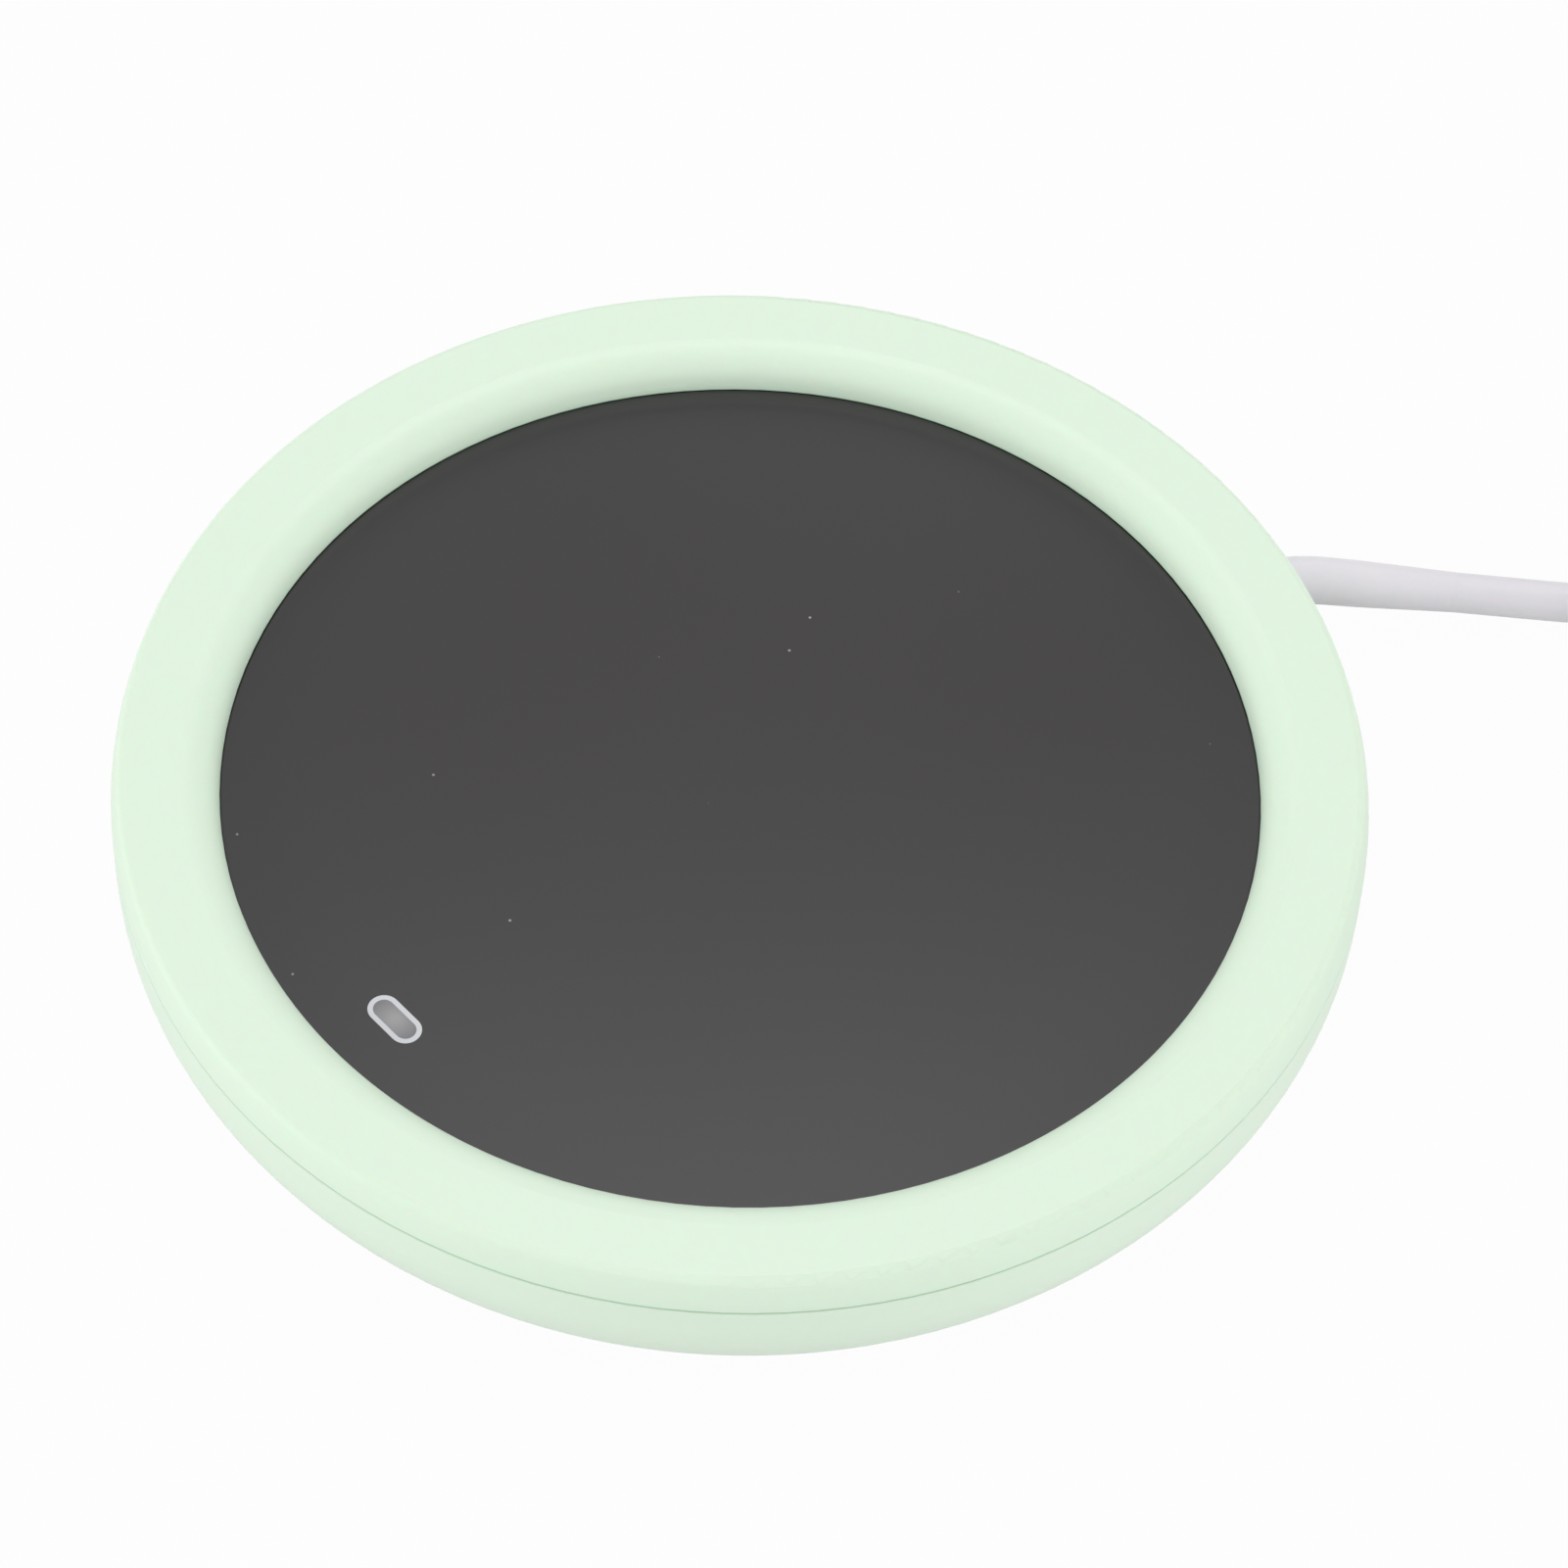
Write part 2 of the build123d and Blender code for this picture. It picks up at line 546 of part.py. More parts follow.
def clamp_ear(position, radius):
    """An arm of the clamp plate with a round end, along +X."""
    arm = block((position, 2 * radius, CLAMP_PLATE_THICKNESS), position / 2, 0, CLAMP_PLATE_LOW)
    return arm + Pos(position, 0, 0) * disc(radius, CLAMP_PLATE_LOW, INSULATION_LOW)


def clamp_plate():
    """Steel plate under the insulation: three ears for the ring's lugs and four bosses for case screws."""
    plate = disc(PANEL_RADIUS - CLAMP_PLATE_MARGIN, CLAMP_PLATE_LOW, INSULATION_LOW)
    boss_top = INSULATION_LOW + BOSS_HEIGHT
    for azimuth in CLAMP_SCREW_ANGLES:
        plate += Rot(0, 0, azimuth) * clamp_ear(LUG_POSITION, LUG_RADIUS)
    for azimuth in CASE_SCREW_ANGLES:
        plate += Rot(0, 0, azimuth) * clamp_ear(POST_POSITION, LUG_RADIUS)
        plate += at(POST_POSITION, azimuth) * disc(BOSS_RADIUS, INSULATION_LOW, boss_top)
    plate -= window_notch()
    plate -= lead_slot(CLAMP_PLATE_LOW, INSULATION_LOW)
    plate -= at(SENSOR_POSITION, SENSOR_ANGLE) * disc(SENSOR_HOLE_RADIUS, CLAMP_PLATE_LOW, INSULATION_LOW)
    for azimuth in CLAMP_SCREW_ANGLES:
        hole = disc(SCREW_RADIUS + COUNTERBORE_GAP, CLAMP_PLATE_LOW, INSULATION_LOW)
        plate -= at(LUG_POSITION, azimuth) * hole
    for azimuth in CASE_SCREW_ANGLES:
        plate -= at(POST_POSITION, azimuth) * disc(SCREW_RADIUS + SCREW_HOLE_GAP, CLAMP_PLATE_LOW, boss_top)
    return plate


def clamp_screws():
    screw = screw_up(CLAMP_HEAD_RADIUS, CLAMP_HEAD_HEIGHT, CLAMP_PLATE_LOW, CLAMP_SCREW_LENGTH, SCREW_RADIUS)
    return [at(LUG_POSITION, azimuth) * screw for azimuth in CLAMP_SCREW_ANGLES]


def case_screws():
    screw = screw_up(CASE_HEAD_RADIUS, CASE_HEAD_HEIGHT, CASE_HEAD_SEAT, CASE_SCREW_LENGTH, SCREW_RADIUS)
    return [at(POST_POSITION, azimuth) * screw for azimuth in CASE_SCREW_ANGLES]


def rubber_feet():
    foot = disc(FOOT_RADIUS, 0, BASE + FOOT_POCKET)
    foot = fillet(foot.edges().group_by(Axis.Z)[0], FOOT_ROUND)
    return [at(FOOT_POSITION, azimuth) * foot for azimuth in FOOT_ANGLES]


def control_board():
    outline = RectangleRounded(BOARD_WIDTH, BOARD_LENGTH, BOARD_CORNER)
    board = Pos(0, 0, BOARD_LOW) * extrude(outline, BOARD_THICKNESS)
    for x, y in board_hole_places():
        board -= Pos(x, y, 0) * disc(BOARD_SCREW_RADIUS + COUNTERBORE_GAP, BOARD_LOW, BOARD_TOP)
    return BOARD_FRAME * board


def board_screws():
    screw = screw_down(BOARD_HEAD_RADIUS, BOARD_HEAD_HEIGHT, BOARD_TOP, BOARD_SCREW_REACH, BOARD_SCREW_RADIUS)
    return [BOARD_FRAME * Pos(x, y, 0) * screw for x, y in board_hole_places()]


def controller_chip():
    return BOARD_FRAME * block(CHIP_SIZE, CHIP_PLACE[0], CHIP_PLACE[1], BOARD_TOP)


def controller_legs():
    legs = []
    first = CHIP_PLACE[1] - (CHIP_LEGS - 1) * CHIP_LEG_PITCH / 2
    for side in (-1, 1):
        x = CHIP_PLACE[0] + side * (CHIP_SIZE[0] + CHIP_LEG_SIZE[0]) / 2
        for index in range(CHIP_LEGS):
            legs.append(BOARD_FRAME * block(CHIP_LEG_SIZE, x, first + index * CHIP_LEG_PITCH, BOARD_TOP))
    return legs


def power_switch():
    x, y = SWITCH_PLACE
    tab_x = x + (SWITCH_SIZE[0] + SWITCH_TAB_SIZE[0]) / 2
    return BOARD_FRAME * (block(SWITCH_SIZE, x, y, BOARD_TOP) + block(SWITCH_TAB_SIZE, tab_x, y, BOARD_TOP))


def filter_capacitor():
    return BOARD_FRAME * block(CAPACITOR_SIZE, CAPACITOR_PLACE[0], CAPACITOR_PLACE[1], BOARD_TOP)


def resistors():
    return [BOARD_FRAME * block(RESISTOR_SIZE, x, y, BOARD_TOP) for x, y in RESISTOR_PLACES]


def connector_x():
    """The middle of the connectors on the board's inner edge."""
    return (CONNECTOR_SIZE[0] - BOARD_WIDTH) / 2


def board_connectors():
    supply = block(CONNECTOR_SIZE, connector_x(), SUPPLY_SOCKET_Y, BOARD_TOP)
    sensor = block(CONNECTOR_SIZE, connector_x(), SENSOR_SOCKET_Y, BOARD_TOP)
    turned_size = (CONNECTOR_SIZE[1], CONNECTOR_SIZE[0], CONNECTOR_SIZE[2])
    heater = block(turned_size, HEATER_SOCKET_X, (CONNECTOR_SIZE[0] - BOARD_LENGTH) / 2, BOARD_TOP)
    return [BOARD_FRAME * piece for piece in (supply, sensor, heater)]


def indicator_lamp():
    return PILL_FRAME * block(LAMP_SIZE, 0, 0, BOARD_TOP)


def light_guide():
    length = PILL_LENGTH - 2 * (PILL_STROKE + GUIDE_WALL)
    width = PILL_WIDTH - 2 * (PILL_STROKE + GUIDE_WALL)
    return pill(length, width, BOARD_TOP + LAMP_SIZE[2] + SEAT_GAP, PANEL_LOW)


def touch_sleeve():
    length = PILL_LENGTH + 2 * SLEEVE_GAP
    width = PILL_WIDTH + 2 * SLEEVE_GAP
    outer = pill(length + 2 * SLEEVE_WALL, width + 2 * SLEEVE_WALL, BOARD_TOP, PANEL_LOW)
    return outer - pill(length, width, BOARD_TOP, PANEL_LOW)


def board_point(x, y, z):
    """A point of the board's frame in the case's frame."""
    return (BOARD_FRAME * Pos(x, y, z)).position


def track_point(x, y, z):
    """A point of the heater track's frame in the case's frame."""
    return (TRACK_FRAME * Pos(x, y, z)).position


def exit_point(x, y, z):
    """A point of the exit's frame in the case's frame."""
    return (EXIT_FRAME * Pos(x, y, z)).position


def thermistor():
    return at(SENSOR_POSITION, SENSOR_ANGLE) * disc(SENSOR_RADIUS, FILM_LOW - SENSOR_LENGTH, FILM_LOW)


def thermistor_leads():
    leads = []
    edge = -BOARD_WIDTH / 2
    for side in (-1, 1):
        turn = Rot(0, 0, PILL_ANGLE - SENSOR_ANGLE)
        spread = turn * Pos(side * SENSOR_LEAD_SPREAD, 0, FILM_LOW - SENSOR_LENGTH)
        top = (at(SENSOR_POSITION, SENSOR_ANGLE) * spread).position
        y = SENSOR_SOCKET_Y + side * WIRE_SPACING / 2
        points = [
            top,
            Vector(top.X, top.Y, WIRE_HEIGHT),
            board_point(edge - WIRE_REACH, y, WIRE_HEIGHT),
            board_point(edge, y, WIRE_HEIGHT),
        ]
        leads.append(tube(points, THIN_WIRE_RADIUS, 2 * THIN_WIRE_RADIUS))
    return leads


def fuse_height():
    """The fuse's axis, just under the film."""
    return FILM_LOW - FUSE_RADIUS - SEAT_GAP


def thermal_fuse():
    body = Pos(FUSE_START, 0, fuse_height()) * Rot(0, 90, 0) * Cylinder(FUSE_RADIUS, FUSE_LENGTH, align=MIN_Z)
    return TRACK_FRAME * body


def heater_leads():
    inner_end, outer_end = track_ends()
    y = -BOARD_LENGTH / 2
    leads = []
    fuse_end = FUSE_START - FUSE_LEAD_REACH
    first = [track_point(*inner_end, TRACK_LOW), track_point(*inner_end, WIRE_HEIGHT)]
    second = [
        track_point(FUSE_START, 0, fuse_height()),
        track_point(fuse_end, 0, fuse_height()),
        track_point(fuse_end, 0, WIRE_HEIGHT),
    ]
    for points, side in ((first, -1), (second, 1)):
        x = HEATER_SOCKET_X + side * WIRE_SPACING / 2
        reach = HEATER_WIRE_REACH + side * HEATER_WIRE_STAGGER
        way = [board_point(x, y - reach, WIRE_HEIGHT), board_point(x, y, WIRE_HEIGHT)]
        leads.append(tube(points + way, WIRE_RADIUS, 2 * WIRE_RADIUS))
    fuse_far = FUSE_START + FUSE_LENGTH
    third = [
        track_point(fuse_far, 0, fuse_height()),
        track_point(fuse_far + FUSE_LEAD_REACH, 0, fuse_height()),
        track_point(*outer_end, fuse_height()),
        track_point(*outer_end, TRACK_LOW),
    ]
    leads.append(tube(third, THIN_WIRE_RADIUS, FUSE_LEAD_BEND))
    return leads


def supply_wires():
    wires = []
    start = FLANGE_POSITION - CORD_INSIDE
    edge = -BOARD_WIDTH / 2
    for side in (-1, 1):
        offset = side * (WIRE_RADIUS + FIT_GAP)
        y = SUPPLY_SOCKET_Y - side * WIRE_SPACING / 2
        points = [
            exit_point(start, offset, EXIT_HEIGHT),
            exit_point(start - WIRE_SPACING, offset, EXIT_HEIGHT),
            exit_point(start - 4 * WIRE_SPACING, offset, WIRE_HEIGHT),
            board_point(edge - 2 * WIRE_REACH, y, WIRE_HEIGHT),
            board_point(edge, y, WIRE_HEIGHT),
        ]
        wires.append(tube(points, WIRE_RADIUS, 4 * WIRE_RADIUS))
    return wires


def cord_inner_end():
    return exit_bar(FLANGE_POSITION - CORD_INSIDE, FLANGE_POSITION, CORD_RADIUS)


def cord_clamp():
    size = (CORD_CLAMP_WIDTH, CORD_CLAMP_LENGTH, CORD_CLAMP_THICKNESS)
    bar = at(FLANGE_POSITION - CORD_CLAMP_INSET, EXIT_ANGLE) * block(size, 0, 0, cord_clamp_seat())
    bar = fillet(bar.edges().filter_by(Axis.Z), CORD_CLAMP_WIDTH / 4)
    bar_top = cord_clamp_seat() + CORD_CLAMP_THICKNESS
    for side in (-1, 1):
        hole = disc(CORD_SCREW_RADIUS + COUNTERBORE_GAP, cord_clamp_seat(), bar_top)
        bar -= cord_clamp_place(side) * hole
    return bar


def cord_clamp_screws():
    seat = cord_clamp_seat() + CORD_CLAMP_THICKNESS
    head = (CORD_SCREW_HEAD_RADIUS, CORD_SCREW_HEAD_HEIGHT)
    screw = screw_down(*head, seat, CORD_SCREW_REACH, CORD_SCREW_RADIUS)
    return [cord_clamp_place(side) * screw for side in (-1, 1)]


def cord_path():
    """The tube's path. It prints the radii of its arcs. An end run has one arc on it, so it gives double."""
    points = route_points()
    runs = [after - before for before, after in zip(points, points[1:])]
    reaches = [run.length * ARC_SHARE for run in runs]
    reaches[0] *= 2
    reaches[-1] *= 2
    radii = []
    for index in range(len(runs) - 1):
        half_turn = math.radians(runs[index].get_angle(runs[index + 1])) / 2
        radii.append(min(reaches[index], reaches[index + 1]) / math.tan(half_turn))
    print("cord arc radii, mm:", [round(radius, 1) for radius in radii])
    return FilletPolyline(*points, radius=radii)


def power_cord(path):
    return sweep(Plane(origin=path @ 0, z_dir=path % 0) * Circle(CORD_RADIUS), path)


def strain_relief(path):
    """Flange and neck in the case's wall, then a sleeve that tapers along the cord."""
    relief = exit_bar(FLANGE_POSITION, PAD_POSITION, FLANGE_RADIUS) & case_room()
    relief += exit_bar(PAD_POSITION, EXIT_POSITION, NECK_RADIUS)
    rings = []
    for index in range(RELIEF_STATIONS):
        share = index / (RELIEF_STATIONS - 1)
        place = path.position_at(share * RELIEF_LENGTH, position_mode=PositionMode.LENGTH)
        along = path.tangent_at(share * RELIEF_LENGTH, position_mode=PositionMode.LENGTH)
        wall = SLEEVE_ROOT_WALL + share * (SLEEVE_TIP_WALL - SLEEVE_ROOT_WALL)
        rings.append(Plane(origin=place, z_dir=along) * Circle(CORD_RADIUS + wall))
    sleeve = loft(rings, ruled=True)
    bore = sweep(Plane(origin=path @ 0, z_dir=path % 0) * Circle(CORD_RADIUS + SEAT_GAP), path)
    return relief + (sleeve - bore)


def coil_section(grow):
    """The coil's rounded section in radius and height, grown by a margin."""
    outline = RectangleRounded(COIL_WIDTH + 2 * grow, COIL_HEIGHT + 2 * grow, COIL_ROUND + grow)
    return Plane.XZ * (Pos(COIL_RADIUS, COIL_LOW + COIL_HEIGHT / 2) * outline)


def cord_coil():
    turns = COIL_FRAME * revolve(coil_section(0), Axis.Z)
    lead_in = straight_bar(route_points()[-1], coil_joint(), CORD_RADIUS)
    leaves = Vector(COIL_X + OUTER_TURN, COIL_Y, TOP_TURN)
    levels = Vector(COIL_X + OUTER_TURN, COIL_Y - TAIL_RUNS[0], PLUG_HALF_HEIGHT)
    tail = tube([leaves, levels, PLUG_FRAME.position], CORD_RADIUS, TAIL_BEND)
    return turns + lead_in + tail


def straight_bar(start, end, radius):
    """A round bar between two points."""
    along = end - start
    return extrude(Plane(origin=start, z_dir=along) * Circle(radius), along.length)


def cord_tie():
    band = coil_section(SEAT_GAP + TIE_THICKNESS) - coil_section(SEAT_GAP)
    return COIL_FRAME * Rot(0, 0, TIE_ANGLE) * revolve(band, Axis.Z, TIE_SWEEP)


def plug_body():
    boot = Cone(BOOT_TIP_RADIUS, BOOT_ROOT_RADIUS, BOOT_LENGTH, align=MIN_Z)
    block_face = RectangleRounded(PLUG_WIDTH, 2 * PLUG_HALF_HEIGHT, PLUG_ROUND)
    grip = Pos(0, 0, BOOT_LENGTH) * extrude(block_face, PLUG_LENGTH)
    faces = grip.faces().sort_by(Axis.Z)
    grip = fillet(faces[0].edges() + faces[-1].edges(), PLUG_EDGE)
    pocket = extrude(Rectangle(SHELL_WIDTH + FIT_GAP, SHELL_HEIGHT + FIT_GAP), SHELL_ROOT)
    return PLUG_FRAME * (boot + grip - Pos(0, 0, BOOT_LENGTH + PLUG_LENGTH - SHELL_ROOT) * pocket)


def plug_shell():
    length = SHELL_ROOT + SHELL_REACH
    outer = extrude(RectangleRounded(SHELL_WIDTH, SHELL_HEIGHT, SHELL_SHEET), length)
    inner = extrude(Rectangle(SHELL_WIDTH - 2 * SHELL_SHEET, SHELL_HEIGHT - 2 * SHELL_SHEET), length)
    shell = outer - inner
    for side in (-1, 1):
        latch = Box(LATCH_SIZE, 2 * SHELL_HEIGHT, LATCH_SIZE)
        shell -= Pos(side * LATCH_SPACING / 2, 0, length - LATCH_FROM_MOUTH) * latch
    return PLUG_FRAME * Pos(0, 0, BOOT_LENGTH + PLUG_LENGTH - SHELL_ROOT) * shell


def plug_tongue():
    length = SHELL_ROOT + SHELL_REACH - TONGUE_SHORT
    low = SHELL_SHEET + SEAT_GAP - SHELL_HEIGHT / 2
    width = SHELL_WIDTH - 2 * (SHELL_SHEET + SEAT_GAP)
    tongue = Pos(0, low + TONGUE_PLASTIC / 2, 0) * Box(width, TONGUE_PLASTIC, length, align=MIN_Z)
    return PLUG_FRAME * Pos(0, 0, BOOT_LENGTH + PLUG_LENGTH - SHELL_ROOT) * tongue


def plug_contacts():
    top = SHELL_SHEET + SEAT_GAP - SHELL_HEIGHT / 2 + TONGUE_PLASTIC
    end = BOOT_LENGTH + PLUG_LENGTH + SHELL_REACH - TONGUE_SHORT - SEAT_GAP
    contacts = []
    for x in CONTACT_PLACES:
        strip = Box(*CONTACT_SIZE, align=MIN_Z)
        contacts.append(PLUG_FRAME * Pos(x, top + CONTACT_SIZE[1] / 2, end - CONTACT_SIZE[2]) * strip)
    return contacts


def save(name, shape):
    """Writes one node: a single solid, or a list of them as one group."""
    solids = []
    for piece in shape if isinstance(shape, list) else [shape]:
        solids += piece.solids()
    whole = solids[0] if len(solids) == 1 else Compound(children=solids)
    whole.label = name
    export_step(whole, f"parts/{name}.step")
    print(name, len(solids), round(sum(solid.volume for solid in solids), 1))


def main():
    os.makedirs("parts", exist_ok=True)
    path = cord_path()
    cord = power_cord(path)
    expected = path.length * math.pi * CORD_RADIUS**2
    print("cord tube length, mm:", round(path.length, 1))
    print("volume over section times length:", cord.volume / expected)
    save("top_ring", top_ring())
    save("bottom_shell", bottom_shell())
    save("heating_panel", heating_panel())
    save("panel_gasket", panel_gasket())
    save("indicator_outline", indicator_outline())
    save("indicator_window", indicator_window())
    save("heat_spreader", heat_spreader())
    save("heater_film", heater_film())
    save("heater_track", heater_track())
    save("insulation_pad", insulation_pad())
    save("clamp_plate", clamp_plate())
    save("clamp_screws", clamp_screws())
    save("case_screws", case_screws())
    save("rubber_feet", rubber_feet())
    save("control_board", control_board())
    save("board_screws", board_screws())
    save("controller_chip", controller_chip())
    save("controller_legs", controller_legs())
    save("power_switch", power_switch())
    save("filter_capacitor", filter_capacitor())
    save("resistors", resistors())
    save("board_connectors", board_connectors())
    save("indicator_lamp", indicator_lamp())
    save("light_guide", light_guide())
    save("touch_sleeve", touch_sleeve())
    save("thermistor", thermistor())
    save("thermistor_leads", thermistor_leads())
    save("thermal_fuse", thermal_fuse())
    save("heater_leads", heater_leads())
    save("supply_wires", supply_wires())
    save("cord_inner_end", cord_inner_end())
    save("cord_clamp", cord_clamp())
    save("cord_clamp_screws", cord_clamp_screws())
    save("strain_relief", strain_relief(path))
    save("power_cord", cord)
    save("cord_coil", cord_coil())
    save("cord_tie", cord_tie())
    save("plug_body", plug_body())
    save("plug_shell", plug_shell())
    save("plug_tongue", plug_tongue())
    save("plug_contacts", plug_contacts())


main()
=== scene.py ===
# %% [markdown]
# # A mug warmer, step by step
# A mug warmer is a low round case with a warm plate sunk into its top. Its packed
# engineering model is loaded first as a fixed frame. Everything else in this lesson
# gives those parts their finish, or adds the soft parts that a solid can't show well:
# the lead, the sleeve that guards it, the strap round its coil, and the grip of its plug.

# %% Load the frame
import math

import bmesh
import bpy
import numpy as np
from mathutils import Matrix, Vector


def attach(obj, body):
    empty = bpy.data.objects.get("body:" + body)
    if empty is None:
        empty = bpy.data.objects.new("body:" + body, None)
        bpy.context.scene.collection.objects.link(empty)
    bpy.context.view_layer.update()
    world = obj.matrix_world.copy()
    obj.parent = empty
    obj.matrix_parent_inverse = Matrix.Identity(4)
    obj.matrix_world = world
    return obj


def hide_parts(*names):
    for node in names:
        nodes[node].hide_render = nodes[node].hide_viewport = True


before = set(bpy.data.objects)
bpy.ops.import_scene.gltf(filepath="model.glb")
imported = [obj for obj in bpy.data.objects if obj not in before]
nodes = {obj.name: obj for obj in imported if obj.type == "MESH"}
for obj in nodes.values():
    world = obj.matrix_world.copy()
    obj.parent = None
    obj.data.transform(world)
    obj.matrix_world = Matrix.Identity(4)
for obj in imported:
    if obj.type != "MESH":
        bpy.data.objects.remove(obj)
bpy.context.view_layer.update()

MM = 0.001
BODY = "root"

# %% [markdown]
# ## Colours and nodes
# A colour is easiest to write as the six digits that a paint program shows. Blender
# mixes light, so it needs the same colour on a straight scale, and one function turns
# one into the other. A second function adds a node, sets it up and joins it, which
# keeps each finish short enough to read in one go. Sockets go by name or by number. A mix
# of colours takes its share at 0 and the two colours at 6 and 7, and gives its result at
# 2. A map range takes its value at 0, the range it comes from at 1 and 2, and the range
# it goes to at 3 and 4. Every other result taken by number is the node's first one.


# %% Helpers for colours and nodes
def linear(code):
    """Each pair of digits is a share of 255, and the standard screen curve turns it to light."""
    shares = np.array([int(code[i : i + 2], 16) for i in (1, 3, 5)]) / 255
    light = np.where(shares <= 0.04045, shares / 12.92, ((shares + 0.055) / 1.055) ** 2.4)
    return (*light.tolist(), 1.0)


def add(tree, kind, inputs=None, **settings):
    """Adds a node. An input is joined if its value is another node's socket, and set if not."""
    node = tree.nodes.new("ShaderNode" + kind)
    for name, value in settings.items():
        setattr(node, name, value)
    for name, value in (inputs or {}).items():
        if isinstance(value, bpy.types.NodeSocket):
            tree.links.new(value, node.inputs[name])
        else:
            node.inputs[name].default_value = value
    return node


def finish(name, **constants):
    """A new material and its main shader, with the values that are the same all over it."""
    material = bpy.data.materials.new(name)
    material.use_nodes = True
    shader = material.node_tree.nodes["Principled BSDF"]
    for key, value in constants.items():
        shader.inputs[key.replace("_", " ")].default_value = value
    return material, material.node_tree, shader


def wire(tree, shader, **sockets):
    """Joins each socket to the shader's input of the same name."""
    for key, socket in sockets.items():
        tree.links.new(socket, shader.inputs[key.replace("_", " ")])


print("a screen's middle grey is", round(linear("#808080")[0], 3), "of full light")

# %% [markdown]
# ## Where the eye stands
# The warmer is seen from the front and well above it, from about half a metre away, with
# a long lens that keeps its circles almost free of perspective. The camera is built from
# three directions, so nothing depends on how angles are ordered.

# %% Camera
EYE = Vector((0.0, -321.41, 434.59)) * MM
LOOK = Vector((0.00762, 0.60873, -0.79334)).normalized()
TOP_OF_VIEW = Vector((-0.0344, 0.79305, 0.60818))
across = LOOK.cross(TOP_OF_VIEW).normalized()
upright = across.cross(LOOK)
lens = bpy.data.cameras.new("camera")
lens.sensor_width = 36.0
lens.lens = 128.81
lens.clip_start = 0.01
camera = bpy.data.objects.new("camera", lens)
turn = Matrix((across, upright, -LOOK)).transposed()
camera.matrix_world = Matrix.Translation(EYE) @ turn.to_4x4()
bpy.context.scene.collection.objects.link(camera)
bpy.context.scene.camera = camera
print("camera", round(EYE.length / MM), "mm from the middle of the case")

# %% [markdown]
# ## A pale table
# The warmer lies on a plain white table. A matt sheet takes the shadow, and a share of
# plain white is mixed in for the eye, for mirrors and for glass, so that the table stays
# pale without any more light falling on the case. The sheet under that white is a light
# grey: a white one would light the case's side from below as brightly as its top.

# %% Floor
TABLE_HALF = 3.0
corners = [(x * TABLE_HALF, y * TABLE_HALF, 0) for x, y in ((-1, -1), (1, -1), (1, 1), (-1, 1))]
floor_mesh = bpy.data.meshes.new("table_top")
floor_mesh.from_pydata(corners, [], [(0, 1, 2, 3)])
floor = bpy.data.objects.new("table_top", floor_mesh)
bpy.context.scene.collection.objects.link(floor)

paper, tree, shader = finish("white_paper", Roughness=0.9, Base_Color=linear("#B4B4B4"))
WHITE_SHARE = 0.97
path = add(tree, "LightPath")
seen = path.outputs["Is Camera Ray"]
for ray in ("Is Glossy Ray", "Is Transmission Ray"):
    seen = add(tree, "Math", {0: seen, 1: path.outputs[ray]}, operation="MAXIMUM").outputs[0]
share = add(tree, "Math", {0: seen, 1: WHITE_SHARE}, operation="MULTIPLY")
glow = add(tree, "Emission", {"Color": (1, 1, 1, 1), "Strength": 1.0})
both = add(tree, "MixShader", {0: share.outputs[0], 1: shader.outputs[0], 2: glow.outputs[0]})
tree.links.new(both.outputs[0], tree.nodes["Material Output"].inputs["Surface"])
floor_mesh.materials.append(paper)
print("table:", 2 * TABLE_HALF, "m wide")

# %% [markdown]
# ## Soft light
# A small pale object is lit from large soft sources, or its round edges turn to hard
# stripes. Even light from all round does two fifths of the work. Four low lamps stand
# round the table like the walls of a light tent: each one fills the rounded lip on the
# far side of the ring, so that it stays nearly as bright as the flat top. A weak wide lamp
# hangs above the eye, and a narrow one over the back: the near side of the glass just
# catches its haze, so the plate gets lighter towards the front. The low lamps in front
# and at the sides give light but show in no mirror. Seen from low down, even satin glass
# is a mirror, and their images would turn the dark plate white.

# %% Light
world = bpy.data.worlds.new("studio")
bpy.context.scene.world = world
bpy.context.scene.view_settings.view_transform = "Standard"
world.use_nodes = True
SKY = 0.45
world.node_tree.nodes["Background"].inputs["Color"].default_value = (1, 1, 1, 1)
world.node_tree.nodes["Background"].inputs["Strength"].default_value = SKY


def soft_lamp(name, place, width, height, power, mirrored=True):
    """A flat lamp of a given width and height at a place, all in metres, facing the middle of
    the case. One that isn't mirrored gives no highlight and no mirror image."""
    data = bpy.data.lights.new(name, "AREA")
    data.shape, data.size, data.size_y, data.energy = "RECTANGLE", width, height, power
    lamp = bpy.data.objects.new(name, data)
    facing = Vector(place).to_track_quat("Z", "Y").to_matrix().to_4x4()
    lamp.matrix_world = Matrix.Translation(place) @ facing
    lamp.visible_glossy = mirrored
    bpy.context.scene.collection.objects.link(lamp)
    print(name, width, "by", height, "m at", place)


soft_lamp("high_front_lamp", (-0.1, -0.4, 1.05), 0.7, 0.7, 0.6)
soft_lamp("low_front_lamp", (0.0, -1.0, 0.27), 0.8, 0.5, 4.0, mirrored=False)
soft_lamp("left_lamp", (-1.0, 0.0, 0.3), 0.8, 0.5, 4.8, mirrored=False)
soft_lamp("right_lamp", (1.0, 0.0, 0.3), 0.8, 0.5, 4.0, mirrored=False)
soft_lamp("back_lamp", (0.0, 0.4, 0.98), 0.6, 0.2, 1.9)
soft_lamp("low_back_lamp", (0.0, 0.92, 0.53), 1.2, 0.4, 2.0)

